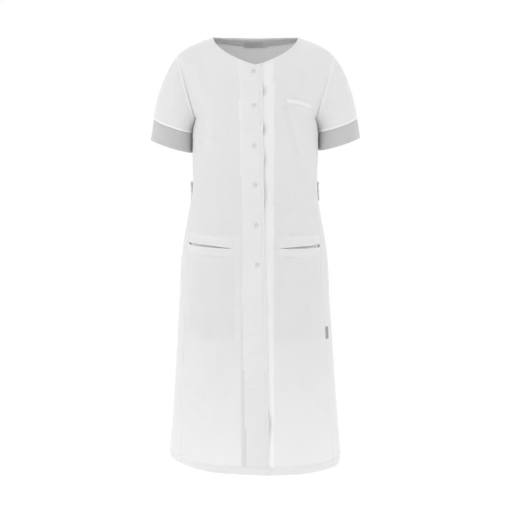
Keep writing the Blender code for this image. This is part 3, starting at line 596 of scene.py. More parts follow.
lap = {
    # z and x of the lap's edge
    "edge": np.array(
        [(-1.02, 0.0345), (-0.9, 0.0305), (-0.7, 0.0264), (-0.48, 0.021), (-0.26, 0.018), (-0.04, 0.0135)]
    ),
    "edgeTop": -0.04,
    "edgeRise": 0.12,
    "underX": -0.020,
    "step": 0.010,
    "depth": 0.0024,
    "lift": 0.0014,
    "reach": 0.011,
    "stitch": 0.006,
    # z, spread and height of the places where the lap gapes
    "gapes": [
        (-0.100, 0.009, 0.0030),
        (-0.190, 0.010, 0.0030),
        (-0.262, 0.016, 0.0020),
        (-0.340, 0.030, 0.0020),
        (-0.885, 0.028, 0.0028),
    ],
    # z and x of the right facing's inner edge, and x of the left one's
    "facing": np.array([(-0.97, -0.0213), (-0.69, -0.0295), (-0.26, -0.0348), (0.0, -0.04)]),
    "facingLeft": 0.043,
    "turnedIn": {"right": 0.055, "left": 0.012},
}
mouth = {  # slit mouths of the hip pockets
    "inner": 0.056,
    "outer": 0.1625,
    "innerZ": -0.469,
    "outerZ": {"right": -0.4615, "left": -0.4672},
    "height": 0.0085,
    "endHeight": 0.0012,
    "band": 0.02,
    "bandAbove": 0.022,
    "gape": 0.0019,
    "gapeReach": 0.016,
    "bandStitch": 0.0011,
    "lipRows": 6,
}
bag = {
    "top": -0.44,
    "bottom": -0.688,
    "inner": 0.04,
    "outer": 0.166,
    "off": 0.0026,
    "depth": 0.005,
    "waves": 0.0006,
    "rows": 40,
    "columns": 28,
    # painted light: the pocket bag is painted lighter to lift the shade inside the pocket mouths
    "tone": 0.5,
}
dart = {  # bust dart, from the side seam in
    "line": (0.15, -0.199, 0.0868, -0.1864),
    "dip": 0.0009,
    "dipReach": 0.0022,
    "ridge": 0.0008,
    "ridgeReach": 0.011,
}
snaps = {
    "places": [
        (-0.0047, -0.0565), (-0.0032, -0.1351), (-0.0035, -0.2274),
        (-0.0007, -0.3199), (0.0019, -0.4136), (0.0040, -0.5069),
    ],
    # radius and height of the cap's rings, from the rim in to the middle
    "profile": [
        (0.0041, -0.0004), (0.0048, 0.0001), (0.0049, 0.0007), (0.0046, 0.0012), (0.0040, 0.00145),
        (0.0036, 0.00135), (0.0033, 0.0015), (0.0022, 0.00172), (0.0010, 0.0018),
    ],
    "sides": 32,
    "hold": 0.022,
    "press": 0.0009,
    "pressReach": 0.0085,
    "ring": 0.0005,
    "ringAt": 0.013,
    "ringReach": 0.006,
    "off": 0.0002,
}
tones = {"mouth": 0.45, "facing": 0.7, "bag": 0.2, "seam": 0.1, "turning": 0.4}  # how much lighter the cloth is painted where it is doubled: painted light, as doubled cloth lets less light through


def columnTurns():
    top = math.sin(math.radians(form["sideTurn"]))
    neckTurn = math.degrees(math.asin(form["neckRatio"] * top))
    turns = [neckTurn * share for share in cut["neckShares"]]
    for i in range(cut["shoulderSteps"]):
        ratio = form["neckRatio"] + (1 - form["neckRatio"]) * i / cut["shoulderSteps"]
        turns.append(math.degrees(math.asin(ratio * top)))
    return turns + [cut["lastTurn"], form["sideTurn"]]


def seamTurn(level, side=form["sideTurn"]):
    return np.where(level < form["underarm"], section("seamTurn", level), side)


def fineSteps(counts, seamFirst, seamLast):  # columns of the cloth between those of the solid, close at a seam
    last = len(counts)
    steps = [i + k / count for i, count in enumerate(counts) for k in range(count)] + [float(last)]
    steps += [0.05, 0.11] * seamFirst + [last - 0.05, last - 0.11] * seamLast
    return np.array(sorted(steps))


def frontTurns(side, level, steps):
    low = np.minimum(level, form["underarm"])
    scale = seamTurn(level) / form["sideTurn"]
    above = lap["edgeTop"] - lap["edgeRise"] * (2 - level)
    edge = readRows(lap["edge"], 1, np.where(level <= form["underarm"], level, above))
    if side == "right":
        columns = [turnAtX(edge, low)] + [-turn * scale for turn in columnTurns()]
    else:
        centre = (lap["underX"] + 0 * edge, 0 * edge, edge + 0.001, edge + 0.001 + lap["step"])
        columns = [turnAtX(x, low) for x in centre] + [turn * scale for turn in columnTurns()[3:]]
    columns = np.array(columns)
    i = np.minimum(steps.astype(int), len(columns) - 2)
    j = np.arange(len(steps))
    return columns[i, :, j].T * (1 - (steps - i)) + columns[i + 1, :, j].T * (steps - i)


def backTurns(level, steps):
    turns = columnTurns()[:-1] + [180 - backSideTurn]
    middle = len(turns) - 1
    fromCentre = np.interp(np.abs(steps - middle), range(len(turns)), turns)
    return 180 - np.sign(middle - steps) * fromCentre * (180 - seamTurn(level, backSideTurn)) / turns[-1]


def alongMouth(x):
    return fade(np.abs(x) - mouth["inner"], mouth["outer"] - mouth["inner"])


def lips(side, x):
    share = alongMouth(x)
    middle = mix(mouth["innerZ"], mouth["outerZ"][side], share)
    opened = share**0.7 * fade(1 - share, 0.12) ** 0.5  # it gapes most near its outer end
    height = mix(mouth["endHeight"], mouth["height"], opened)
    return middle - height / 2, middle + height / 2


def skirtLevels():
    stitched = form["hem"] + cut["hemBand"]
    close = [form["hem"] + 0.0007, form["hem"] + 0.0018, *(stitched + d for d in cut["closeRows"])]
    return sorted([*np.linspace(form["hem"], cut["belowMouth"], cut["skirtRows"]), *close])


def chestLevels(foot):
    above = sorted([*(1 + np.linspace(0, 1, cut["chestRows"])[1:]), 1.996, 1.988])
    return [*np.linspace(foot, form["underarm"], cut["hipRows"]), *above]


def laidRelief(points, normals, face):  # creases and unevenness, as a height along the normal
    x, z = points[..., 0], points[..., 2]
    height = creaseHeight(softCreases[face], x, z) * fade(np.abs(normals[..., 1]) * 1.6, 1)
    wide, narrow = cut["waveSizes"]
    height += cut["waves"] * softWaves(points, wide, 3) + 0.3 * cut["waves"] * softWaves(points, narrow, 8)
    skirt = fade(cut["skirtTop"] - z, cut["skirtReach"]) ** 1.5
    around = np.arctan2(x, -points[..., 1])
    return height + skirt * cut["skirtWaves"] * (np.sin(around * 7 + 0.7) + 0.6 * np.sin(around * 12 - 1.3))


def dressed(points, face):  # the body's surface with the relief that is laid into the cloth
    normals = gridNormals(points)
    return points + normals * laidRelief(points, normals, face)[..., None]


def seamRelief(distance, z):  # a seam draws the cloth in, with small puckers beside it
    pucker = np.sin(z * 2 * math.pi / cut["puckerLength"] + 3 * np.sin(z * 40)) * fade(distance, 0.002)
    raised = cut["pucker"] * pucker * bell(distance, cut["puckerReach"])
    return -cut["seamDip"] * bell(distance, cut["seamReach"]) + raised


def stitchRelief(distance, reach=cut["stitchReach"]):
    return -cut["stitchDip"] * bell(distance, reach)


def pressEnds(relief, low, high, shoulder, z):  # the shoulder seam or the neck's stitches, and the turned hem
    relief += np.where(shoulder, seamRelief(high, z), stitchRelief(high - cut["neckStitch"]))
    relief += stitchRelief(low - cut["hemBand"]) + cut["hemRise"] * fade(cut["hemBand"] - low, 0.003)


# painted light: the doubled hem, seam allowances and turnings are painted lighter
def doubledLightTones(low, seam, high, turning):
    hem = fade(cut["hemBand"] + 0.0006 - low, 0.0012)
    return [hem, tones["seam"] * fade(0.008 - seam, 0.001), tones["turning"] * fade(turning - high, 0.001)]


def turnedEnds(grids, low, high, width):  # the hem, and the turning along the neck and shoulder
    middle = low.shape[1] // 2
    hemRows = list(range(1, int(np.sum(low[:, middle] < cut["hemBand"]))))
    topRows = [i for i in range(len(low) - 2, 0, -1) if high[i, middle] < width]
    hem = turnedIn(grids, 0, 1, hemRows, cut["turning"], True)
    return [hem, turnedIn(grids, -1, -1, topRows, cut["turning"], False)]


def frontRows(side, atMouth):  # levels of every row, with the slit between two of them
    lowLip, highLip = lips(side, atMouth)
    below, above = cut["belowMouth"], cut["aboveMouth"]
    rows = [0 * atMouth + level for level in skirtLevels()]
    rows += [mix(below, lowLip, s) for s in (0.14, 0.28, 0.42, 0.56, 0.70, 0.82, 0.92, 0.975, 1.0)]
    lipRow = len(rows) - 1
    rows += [mix(highLip, above, s) for s in (0, 0.03, 0.1, 0.22, 0.4, 0.6, 0.8)]
    return np.array(rows + [0 * atMouth + level for level in chestLevels(above)]), lipRow


def lapRelief(x, z, fromLap, gape):  # the lap lies flat at the snaps and lifts a little between them
    held = sum(bell(z - snapZ, snaps["hold"]) for _, snapZ in snaps["places"])
    lift = lap["lift"] * np.clip(1 - held, 0, 1) * (0.6 + 0.4 * np.sin(z * 61 + 1.3)) + gape
    relief = lift * bell(fromLap, lap["reach"]) + stitchRelief(fromLap - lap["stitch"])
    for snapX, snapZ in snaps["places"]:
        away = np.hypot(x - snapX, z - snapZ)
        ring = snaps["ring"] * bell(away - snaps["ringAt"], snaps["ringReach"])
        relief += -snaps["press"] * bell(away, snaps["pressReach"]) + ring
    return relief


def frontCloth(side):
    right = side == "right"
    counts = (9, 5, 5, 5, 4, 4, 5, 5, 5, 5, 5, 5, 5) if right else (4, 6, 5, 5, 5, 4, 5, 5, 5, 5, 5, 5, 5)
    steps = fineSteps(counts, False, True)
    count = len(steps)
    mouthTurns = frontTurns(side, np.full((1, count), mouth["innerZ"]), steps)
    atMouth = sectionPoint(mouthTurns, mouth["innerZ"])[0, :, 0]
    levels, lipRow = frontRows(side, atMouth)
    points = body(frontTurns(side, levels, steps), levels)
    if right:
        points, steps, atMouth = points[:, ::-1], steps[::-1], atMouth[::-1]
    normals = gridNormals(points)
    first, last, low, high = edgeDistances(points)
    x, z = points[..., 0], points[..., 2]
    seam, fromLap = (first, last) if right else (last, first)
    shoulder = np.broadcast_to(np.abs(x[-1:]) > cut["shoulderX"], x.shape)
    seamDip = np.where(z > form["underarm"], cut["armholeDip"][side], cut["sideSeam"])
    relief = laidRelief(points, normals, "front") + seamRelief(seam, z) * seamDip
    pressEnds(relief, low, high, shoulder, z)
    share = alongMouth(x)
    nearMouth = (share > 0) & (share < 1)
    lowLip, highLip = lips(side, x)
    relief += stitchRelief(z - lowLip + mouth["band"], mouth["bandStitch"]) * nearMouth
    belowSlit = z < (lowLip + highLip) / 2
    relief += mouth["gape"] * bell(z - lowLip, mouth["gapeReach"]) * np.sin(share * math.pi) * belowSlit
    gape = sum(rise * bell(z - gapeZ, spread) for gapeZ, spread, rise in lap["gapes"])
    if right:
        relief += lapRelief(x, z, fromLap, gape)
    along, off = lineOver(np.abs(x), z, *dart["line"])
    crease = -dart["dip"] * bell(off, dart["dipReach"]) + dart["ridge"] * bell(off, dart["ridgeReach"])
    relief += crease * (1 - along) ** 0.4
    under = 0 * steps if right else np.clip(3 - steps, 0, 1)
    points = points + normals * (relief - (lap["depth"] + 1.5 * gape) * under)[..., None]
    if right:  # the lap edge isn't quite straight
        wander = 0.0006 * np.sin(z * 71 + 0.4) + 0.0004 * np.sin(z * 163)
        points[..., 0] += wander * bell(fromLap, 0.010)
    facing = x > np.interp(z, *lap["facing"].T) if right else x < lap["facingLeft"]
    overBag = (np.abs(x) > bag["inner"]) & (np.abs(x) < bag["outer"]) & (z > bag["bottom"]) & (z < bag["top"])
    band = nearMouth * ((z > lowLip - mouth["band"]) & (z < highLip + mouth["bandAbove"]))
    # painted light: the pocket mouth band, the front facing and the pocket bag behind are painted lighter where they
    # double the cloth
    doubledLightTone = [tones["mouth"] * band, tones["facing"] * facing, tones["bag"] * overBag]
    tone = np.maximum.reduce(doubledLightTones(low, seam, high, 0.010) + doubledLightTone)
    holes = np.zeros((len(levels) - 1, count - 1), bool)
    slit = (np.abs(atMouth) > mouth["inner"] - 0.0005) & (np.abs(atMouth) < mouth["outer"] + 0.0015)
    holes[lipRow] = slit[:-1] & slit[1:]
    grids = (points, gridNormals(points), clothMap(points))
    parts = [(points, grids[2], tone, False, holes), *turnedEnds(grids, low, high, 0.010)]
    inward = range(count - 2, 0, -1) if right else range(1, count)
    inside = [j for j in inward if fromLap[len(levels) // 2, j] < lap["turnedIn"][side]]
    sideways = [grid.transpose(1, 0, 2) for grid in grids]
    edge, step = (-1, -1) if right else (0, 1)
    parts.append(turnedIn(sideways, edge, step, inside, cut["turning"] + 0.0004, right))
    mouthGrids = [grid[:, slit] for grid in grids]
    for row, step in ((lipRow, -1), (lipRow + 1, 1)):  # the turned lips of the pocket mouth
        inside = [row + step * k for k in range(1, mouth["lipRows"] + 1)]
        parts.append(turnedIn(mouthGrids, row, step, inside, cut["turning"], step == 1))
    piece = meshFrom(f"frontCloth_{side}", parts, "whiteTwill", f"front_{side}", cut["wall"])
    marks = {"fromLap": fromLap, "shoulder": shoulder, "lowLip": lowLip, "share": share}
    keepCloth(f"front_{side}", piece, points, grids[1], low, high, **marks)


def backCloth():
    steps = fineSteps([4] * 24, True, True)
    levels = np.array([*skirtLevels(), *chestLevels(cut["belowMouth"] + 0.0037)])[:, None] + 0 * steps
    points = body(backTurns(levels, steps), levels)
    normals = gridNormals(points)
    left, right, low, high = edgeDistances(points)
    z = points[..., 2]
    seam = np.minimum(left, right)
    shoulder = np.broadcast_to(np.abs(points[-1:, :, 0]) > cut["shoulderX"], z.shape)
    relief = laidRelief(points, normals, "back") + seamRelief(seam, z) * cut["sideSeam"]
    pressEnds(relief, low, high, shoulder, z)
    points = points + normals * relief[..., None]
    tone = np.maximum.reduce(doubledLightTones(low, seam, high, 0.021))
    grids = (points, gridNormals(points), clothMap(points))
    parts = [(points, grids[2], tone, False, None), *turnedEnds(grids, low, high, 0.008)]
    piece = meshFrom("backCloth", parts, "whiteTwill", "back", cut["wall"])
    keepCloth("back", piece, points, grids[1], low, high, shoulder=shoulder)


for side in ("right", "left"):
    frontCloth(side)
print("fronts cut, lapped and turned in")
backCloth()
print("back cut and turned in")

arm = {
    "sleeveEnd": {"centre": (0.1998, 0.016, -0.1835), "across": (0.0475, 0.0, 0.0165), "along": (0.0, 0.062, 0.0068)},
    "cuffEnd": {"centre": (0.2042, 0.018, -0.23), "across": (0.0508, 0.0, 0.0158), "along": (0.0, 0.066, 0.0042)},
    "lift": {"sleeveEnd": {"right": 0.0026, "left": 0.0046}, "cuffEnd": {"right": -0.0006, "left": 0.0052}},
    "around": 56,  # columns up the front half of the armhole, and as many down the back
    "sleeveRows": 52,
    "sleeveWaves": {"right": 12, "left": 3},
    "leave": 0.26,
    "arrive": 0.30,
    "ease": 0.00035,
    "easePitch": 5.5,  # columns
    "endRidge": 0.0011,
    "cuffRows": 14,
    "cuffWall": 0.0022,
    "cuffWaves": {"right": 21, "left": 17},
    "cuffInset": 0.005,
    "cuffDip": 0.0009,
    # x and z of both ends, spread, height
    "creases": {
        "right": {
            "front": [
                (196, -30, 214, -120, 12, -1.6), (186, -50, 196, -150, 10, 1.4),
                (166, -120, 200, -160, 8, -1.8), (222, -90, 236, -160, 11, -1.2),
            ],
            "back": [
                (190, -40, 206, -140, 13, -1.6), (170, -110, 198, -160, 9, -1.5),
            ],
        },
        "left": {
            "front": [
                (198, -35, 216, -115, 12, -1.5), (182, -60, 198, -145, 10, 1.3),
                (164, -115, 196, -155, 8, -1.7), (220, -100, 234, -165, 11, -1.2),
            ],
            "back": [
                (192, -45, 210, -135, 13, -1.6), (168, -115, 200, -155, 9, -1.5),
            ],
        },
    },
}


def oval(end, side, turns):
    centre, across, along = (np.array(arm[end][key]) for key in ("centre", "across", "along"))
    lift = np.array([0, 0, arm["lift"][end][side]])
    return centre + np.outer(np.cos(turns), across) + np.outer(np.sin(turns), along) + lift


def armholeLoop():  # from the underarm up the front, over and down the back, with its turns round the arm
    rises = 1 + np.maximum(np.linspace(0, 1, arm["around"] + 1), 1e-9)
    loop = np.vstack([body(form["sideTurn"], rises), body(backSideTurn, rises)[-2:0:-1]])
    lengths = np.linalg.norm(np.diff(np.vstack([loop, loop[:1]]), axis=0), axis=1)
    ways = np.concatenate([[0], np.cumsum(lengths)])
    top = ways[arm["around"]]
    up, down = -math.pi + math.pi * ways[:-1] / top, math.pi * (ways[:-1] - top) / (ways[-1] - top)
    return loop, np.where(np.arange(len(loop)) <= arm["around"], up, down)


def onSide(side, points, *fields):  # both arms are shaped on the left, and the right one is turned over
    if side == "left":
        return (points, *fields)
    return (points[:, ::-1] * np.array([-1, 1, 1]), *(field[:, ::-1] for field in fields))


def sleeveCloth(side):
    loop, turns = armholeLoop()
    axis = unit(np.array(arm["cuffEnd"]["centre"]) - np.array(arm["sleeveEnd"]["centre"]))
    end = oval("sleeveEnd", side, turns)
    reach = np.linalg.norm(end - loop, axis=1)[:, None]
    top = (1 + np.cos(turns)) / 2
    under = (1 - top) ** 3  # below the arm the cloth lies down against the side
    away = (0.60 + 0.05 * top - 0.42 * under, 0.50 * np.sin(turns) * (1 - 0.3 * top), -0.08 - 0.64 * top - 0.50 * under)
    leave = loop + arm["leave"] * reach * unit(np.stack(away, axis=-1))
    arrive = end - arm["arrive"] * reach * axis
    shares = 1 - np.sort([*np.linspace(0, 1, arm["sleeveRows"]), 0.008, 0.99, 0.975])
    points = np.array([curveAt(loop, leave, arrive, end, share) for share in shares])
    _, _, low, high = edgeDistances(points)
    creases = [creaseHeight(arm["creases"][side][face], points[..., 0], points[..., 2]) for face in ("front", "back")]
    creased = np.where(points[..., 1] < 0.012, *creases) * fade(np.abs(np.sin(turns)) * 1.5, 1)
    waves = 0.8 * cut["waves"] * softWaves(points, 0.07, arm["sleeveWaves"][side])
    relief = (creased + waves) * (fade(high, 0.012) * fade(low, 0.010))
    places = np.arange(len(turns))
    ease = np.sin(places * 2 * math.pi / arm["easePitch"] + 2 * np.sin(places * 0.3))
    relief += arm["ease"] * ease * bell(high - 0.005, 0.006)
    ridge = arm["endRidge"] * bell(low - 0.003, 0.0026)
    relief += -cut["armholeDip"][side] * cut["seamDip"] * bell(high, 0.0018) + ridge
    points = points + gridNormals(points, True) * relief[..., None]
    # the sleeve's foot is turned and doubled; its bright line above the cuff is painted highlight, and the turning at
    # the top is painted lighter as doubled cloth
    tone = np.maximum(fade(0.0065 - low, 0.001), tones["turning"] * fade(0.010 - high, 0.001))
    points, tone, *ends = onSide(side, points, tone, low, high)
    makeCloth(f"sleeveCloth_{side}", f"sleeve_{side}", points, tone, "whiteTwill", cut["wall"], 0, True, ends)


def cuffBand(side):
    _, turns = armholeLoop()
    lowEnd, highEnd = oval("cuffEnd", side, turns), oval("sleeveEnd", side, turns)
    shares = np.sort([*np.linspace(0, 1, arm["cuffRows"]), 0.03, 0.06, 0.94, 0.97])
    points = np.array([mix(lowEnd, highEnd, share) for share in shares])
    _, _, low, high = edgeDistances(points)
    relief = 0.0006 * softWaves(points, 0.06, arm["cuffWaves"][side]) * fade(high, 0.01)
    stitched = stitchRelief(high - arm["cuffInset"]) + stitchRelief(low - arm["cuffInset"])
    relief += stitched - arm["cuffDip"] * bell(high, 0.0022)
    points = points + gridNormals(points, True) * relief[..., None]
    points, *ends = onSide(side, points, low, high)
    # painted highlight: a faintly lighter line along the band's folded foot
    tone = fade(0.0015 - ends[0], 0.001)
    makeCloth(f"cuffBand_{side}", f"cuff_{side}", points, tone, "greyTwill", arm["cuffWall"], 0.0008, True, ends)


for side in ("right", "left"):
    sleeveCloth(side)
    cuffBand(side)
print("sleeves and cuffs made")

belt = {
    "top": -0.318,
    "height": 0.046,
    "wall": 0.0022,
    "over": 0.005,
    "stand": 0.0036,
    "endLean": {1: 0.0045, -1: 0.009},
    "rows": 16,
    "inset": 0.005,
    "snapTurn": 103.5,
    "waves": 0.0005,
    "edgeDip": 0.0004,
    # painted light: the doubled band is painted partly lighter, as doubled cloth lets less light through
    "tone": 0.4,
}
neckFacing = {"foot": 1.885, "top": 1.994, "depth": 0.0024, "rows": 14, "tone": 0.9}
neckLabel = {"x": (-0.03, 0.0185), "z": (0.0105, 0.0245), "wall": 0.0005, "off": 0.0012}
sizeTab = {"x": (0.02, 0.029), "z": (0.01, 0.024), "wall": 0.0004, "off": 0.0012}
sideLabel = {"z": (-0.692, -0.663), "width": 0.0075, "wall": 0.0005, "off": 0.0013, "curl": 0.0012}
welt = {
    "x": (0.0728, 0.1305),
    "centre": np.array([(0.0728, -0.1255), (0.1, -0.1285), (0.1305, -0.1385)]),
    "height": 0.0105,
    "wall": 0.0013,
    "off": 0.0017,
    # painted light: the doubled welt is painted lighter, as doubled cloth lets less light through
    "tone": 0.5,
    "inset": 0.0016,
}


def halfBelt():
    steps = np.linspace(1, 23, 22 * 4 + 1)
    shares = np.sort([*np.linspace(0, 1, belt["rows"]), 0.03, 0.97])
    z = (belt["top"] - belt["height"] * (1 - shares))[:, None] + 0 * steps
    turns = backTurns(z, steps)
    around = sectionPoint(turns + 0.5, z) - sectionPoint(turns - 0.5, z)
    nearEnd = np.abs(steps / 12 - 1)
    stand = belt["over"] + belt["stand"] * bell(nearEnd - 0.82, 0.12)
    lean = np.where(steps < 12, belt["endLean"][1], belt["endLean"][-1]) * bell(nearEnd - 0.9, 0.14)
    stand = stand[None, :] + lean[None, :] * (shares[:, None] - 0.5)
    points = sectionPoint(turns, z) + unit(np.cross(around, (0, 0, 1))) * stand[..., None]
    left, right, low, high = edgeDistances(points)
    edge = np.minimum(np.minimum(left, right), np.minimum(low, high))
    relief = belt["waves"] * softWaves(points, 0.05, 31) + stitchRelief(edge - belt["inset"], 0.0012)
    relief -= belt["edgeDip"] * bell(edge, 0.0015)
    points = points + gridNormals(points) * relief[..., None]
    ends = (low, high)
    makeCloth("halfBeltBand", "half_belt", points, belt["tone"], "whiteTwill", belt["wall"], 0.0008, False, ends)


def pocketBag(side):
    z = np.linspace(bag["bottom"], bag["top"], bag["rows"])[:, None] + np.zeros(bag["columns"])
    shares = np.linspace(0, 1, bag["columns"])
    turns = mix(turnAtX(bag["inner"], z), section("seamTurn", z) - 2.5, shares) * (1 if side == "left" else -1)
    level = (z - bag["bottom"]) / (bag["top"] - bag["bottom"])
    slack = np.abs(np.sin(math.pi * shares)) ** 0.5 * np.abs(np.sin(math.pi * level**1.6)) ** 0.5
    if side == "right":
        turns, slack = turns[:, ::-1], slack[:, ::-1]
    points = dressed(body(turns, z), "front")
    hang = bag["off"] + bag["depth"] * slack + bag["waves"] * softWaves(points, 0.05, 41) * slack
    points = points - gridNormals(points) * hang[..., None]
    makeCloth(f"pocketBagCloth_{side}", f"pocket_bag_{side}", points, bag["tone"], "whiteTwill", cut["wall"])


def facingPoints(foot):
    steps = np.linspace(6, 18, 12 * 5 + 1)
    levels = np.linspace(foot, neckFacing["top"], neckFacing["rows"])[:, None] + 0 * steps
    points = dressed(body(backTurns(levels, steps), levels), "back")
    return points - gridNormals(points) * neckFacing["depth"]


def rayHit(tree, x, fromY, z):  # where a level ray from ahead meets a cloth, and which way that faces
    hit, normal, *_ = tree.ray_cast(Vector((x, fromY, z)), Vector((0, 1, 0)))
    return hit, normal if normal.y < 0 else -normal


def laidPatch(name, part, place, tree, fromY, centre, material, columns, rows, tone):
    # a small piece laid on a panel, point by point
    points = np.zeros((rows, columns, 3))
    for i, share in enumerate(np.linspace(0, 1, rows)):
        for j, x in enumerate(np.linspace(*place["x"], columns)):
            hit, normal = rayHit(tree, x, fromY, centre(x, share))
            points[i, j] = np.array(hit + normal * place["off"])
    makeCloth(name, part, points, tone, material, place["wall"], place["wall"] * 0.35)


def betweenZ(place):
    return lambda x, share: mix(*place["z"], share)


def weltZ(x, share):
    return float(readRows(welt["centre"], 1, x)) + (share - 0.5) * welt["height"]


def sideLabelRibbon():
    across = np.linspace(0, 1, 7)
    z = np.linspace(*sideLabel["z"], 12)[:, None] + 0 * across
    swing = np.degrees(sideLabel["width"] / section("halfWidth", z)) * 1.6
    points = dressed(body(section("seamTurn", z) + 0.4 + swing * across, z), "back")
    curl = sideLabel["off"] + sideLabel["curl"] * across**2
    points = points + gridNormals(points) * curl[None, :, None]
    tone = np.linspace(1, 0, 7) ** 4
    makeCloth("sideLabelRibbon", "side_label", points, tone, "sideLabelWeave", sideLabel["wall"], 0.00015)


halfBelt()
for side in ("right", "left"):
    pocketBag(side)
facingCloth = facingPoints(neckFacing["foot"])
makeCloth("neckFacingCloth", "back_neck_facing", facingCloth, neckFacing["tone"], "facingTwillPaintedLight", cut["wall"])
print("half belt, pocket bags and neck facing made")

frontTrees = {side: treeOf(cloths[f"front_{side}"]["points"]) for side in ("right", "left")}
labelTree = treeOf(facingPoints(neckFacing["foot"] - 0.03))  # the labels hang a little below the facing
edgeTone = np.zeros((9, 25))
edgeTone[:, [0, 1, -2, -1]] = edgeTone[[0, -1], :] = 1.0
labelPlace, tabPlace = betweenZ(neckLabel), betweenZ(sizeTab)
laidPatch("neckLabelRibbon", "neck_label", neckLabel, labelTree, -0.02, labelPlace, "neckLabelWeavePaintedLight", 25, 9, edgeTone)
laidPatch("sizeTabRibbon", "size_tab", sizeTab, labelTree, -0.02, tabPlace, "tabWeave", 9, 9, 0.0)
laidPatch("chestWeltBand", "chest_welt", welt, frontTrees["left"], -0.4, weltZ, "whiteTwill", 34, 9, welt["tone"])
sideLabelRibbon()
print("labels and chest welt made")


def capOn(name, part, seat, outward):
    seat, outward = np.array(seat), unit(np.array(outward))
    right = unit(np.cross((0, 0, 1), outward))
    up = np.cross(outward, right)
    sides = snaps["sides"]
    ring = [right * math.cos(t) + up * math.sin(t) for t in np.linspace(0, 2 * math.pi, sides, endpoint=False)]
    points = []
    for radius, height in snaps["profile"]:
        points += [seat + radius * way + outward * (height + snaps["off"]) for way in ring]
    last = len(points) - sides
    points.append(seat + outward * (snaps["profile"][-1][1] + 0.00022))
    faces = gridFaces(len(snaps["profile"]), sides, True)
    faces += [(last + i, last + (i + 1) % sides, len(points) - 1) for i in range(sides)]
    faces.append(tuple(reversed(range(sides))))
    mesh = bpy.data.meshes.new(name)
    mesh.from_pydata([tuple(point) for point in points], [], faces)
    placed(name, mesh, "snapCap", part)


for number, (x, z) in enumerate(snaps["places"], start=1):
    capOn(f"snapCap_{number}", f"snap_{number}", *rayHit(frontTrees["right"], x, -0.4, z))
beltTree = treeOf(cloths["half_belt"]["points"])
for side, sign in (("left", 1), ("right", -1)):
    beside = Vector(sectionPoint(sign * belt["snapTurn"], belt["top"] - belt["height"] / 2))
    hit, normal, *_ = beltTree.find_nearest(beside)
    capOn(f"beltSnapCap_{side}", f"belt_snap_{side}", hit, normal if normal.x * sign > 0 else -normal)
print("snap caps set")

sewing = {"pitch": 0.0031, "length": 0.0024, "width": 0.0003, "height": 0.00022, "sink": 0.0002, "sleeveInset": 0.0055}


def lineOnGrid(cloth, field, value, keep=True, byRows=False):  # where a field over the grid reaches a value
    points, normals, keep = cloth["points"], cloth["normals"], np.broadcast_to(keep, field.shape)
    if byRows:
        points, normals, field, keep = points.transpose(1, 0, 2), normals.transpose(1, 0, 2), field.T, keep.T
    found = []
    for j in range(points.shape[1]):
        above = field[:, j] > value
        crossing = np.where((above[:-1] != above[1:]) & keep[:-1, j])[0]
        if len(crossing):
            i = crossing[0]
            t = (value - field[i, j]) / (field[i + 1, j] - field[i, j])
            found.append(np.concatenate([points[i, j] * (1 - t) + points[i + 1, j] * t, normals[i, j]]))
    return np.array(found)


def endLines(part, low, high, keep=True):  # along a cloth's foot and along its top
    cloth = cloths[part]
    return [lineOnGrid(cloth, cloth["low"], low), lineOnGrid(cloth, cloth["high"], high, keep)]


def stitch(name, lines, closed=False):  # each stitch is a small spindle of thread
    points, faces = [], []
    for line in lines:
        line = np.vstack([line, line[:1]]) if closed else line
        way = np.concatenate([[0], np.cumsum(np.linalg.norm(np.diff(line[:, :3], axis=0), axis=1))])
        gaps = [(way[b], way[b + 1]) for b in np.where(np.diff(way) > 0.03)[0]]
        for start in np.arange(sewing["pitch"], way[-1] - sewing["pitch"], sewing["pitch"]):
            stop = start + sewing["length"]
            if any(low < stop and high > start for low, high in gaps):
                continue
            spots = ((start, range(3)), (stop, range(3)), (start, range(3, 6)))
            a, b, up = (np.array([np.interp(at, way, line[:, k]) for k in keys]) for at, keys in spots)
            across = np.cross(up, unit(b - a)) * sewing["width"]
            f = len(points)
            points += [a - up * 0.0001, b - up * 0.0001]
            for share in (0.22, 0.78):
                middle = a + (b - a) * share
                crown, foot = middle + up * sewing["height"], middle - up * sewing["sink"]
                points += [middle + across, crown, middle - across, foot]
            for k in range(4):
                a, b = f + 2 + k, f + 2 + (k + 1) % 4
                faces += [(f, b, a), (a, b, b + 4, a + 4), (f + 1, a + 4, b + 4)]
    mesh = bpy.data.meshes.new(name)
    mesh.from_pydata([tuple(point) for point in points], [], faces)
    mesh.uv_layers.new(name="cloth")
    mesh.attributes.new("doubledLightTone", "FLOAT", "POINT")
    placed(name, mesh, "sewingThread")


for side in ("right", "left"):
    cloth = cloths[f"front_{side}"]
    field = cloth["points"][..., 2] - cloth["lowLip"] + mouth["band"]
    nearMouth = (cloth["share"] > 0) & (cloth["share"] < 1) & (np.abs(field) < 0.02)
    lines = endLines(f"front_{side}", cut["hemBand"], cut["neckStitch"], ~cloth["shoulder"])
    lines.append(lineOnGrid(cloth, field, 0.0, nearMouth))
    if side == "right":
        lines.append(lineOnGrid(cloth, cloth["fromLap"], lap["stitch"], byRows=True))
    stitch(f"frontStitches_{side}", lines)
    cloth = cloths[f"sleeve_{side}"]
    foot = lineOnGrid(cloth, cloth["low"], sewing["sleeveInset"])
    stitch(f"sleeveStitches_{side}", [foot], closed=True)
    lines = endLines(f"cuff_{side}", arm["cuffInset"], arm["cuffInset"])
    stitch(f"cuffStitches_{side}", lines, closed=True)
stitch("backStitches", endLines("back", cut["hemBand"], cut["neckStitch"], ~cloths["back"]["shoulder"]))
stitch("beltStitches", endLines("half_belt", belt["inset"], belt["inset"]))
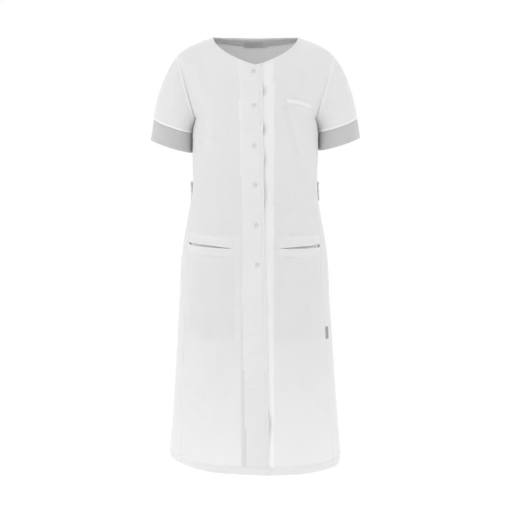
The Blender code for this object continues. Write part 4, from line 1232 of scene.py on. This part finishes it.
stitch("weltStitches", endLines("chest_welt", welt["inset"], welt["inset"]))
print("stitches sewn")
studio = {
    "floor": -1.45,  # where the wearer's feet would be
    "floorReach": 6,
    "paper": (1.0, 1.0, 1.0),
    "target": (0.0012, 0.0, -0.499),
    "distance": 2.86,
    "rise": 6.0,
    "lens": 82.0,
    "surround": 1.0,
    # name, place, size, power
    "lights": [("keyLight", (-1.0, -2.7, -0.25), 1.2, 6.5), ("backLight", (0.3, 1.4, 0.8), 0.8, 4.0)],
    "lightsAim": (0, 0, -0.45),
}


def aim(thing, place, target):
    thing.location = place
    thing.rotation_euler = (Vector(target) - Vector(place)).to_track_quat("-Z", "Y").to_euler()


floorMesh = bpy.data.meshes.new("studioFloor")
corners = [(x * studio["floorReach"], y * studio["floorReach"]) for x, y in ((-1, -1), (1, -1), (1, 1), (-1, 1))]
floorMesh.from_pydata([(x, y, studio["floor"]) for x, y in corners], [], [(0, 1, 2, 3)])
paper, paperTree = startMaterial("studioPaper")
fill(paperTree, paperTree.nodes["Principled BSDF"], {"Base Color": (*studio["paper"], 1), "Roughness": 0.9})
floorMesh.materials.append(paper)
linked("studioFloor", floorMesh)

surround = bpy.data.worlds.new("paleSurround")
surround.use_nodes = True
light = {"Color": (1, 1, 1, 1), "Strength": studio["surround"]}
fill(surround.node_tree, surround.node_tree.nodes["Background"], light)
bpy.context.scene.world = surround
for name, place, size, power in studio["lights"]:
    lampData = bpy.data.lights.new(name, "AREA")
    lampData.size, lampData.energy = size, power
    aim(linked(name, lampData), place, studio["lightsAim"])

lens = bpy.data.cameras.new("studioCamera")
lens.lens, lens.sensor_width = studio["lens"], 36.0
camera = linked("studioCamera", lens)
rise = math.radians(studio["rise"])
back = studio["distance"] * np.array([0, -math.cos(rise), math.sin(rise)])
aim(camera, np.array(studio["target"]) + back, studio["target"])
bpy.context.scene.camera = camera
bpy.context.scene.view_settings.view_transform = "Standard"
print("studio lit")

bpy.context.view_layer.update()
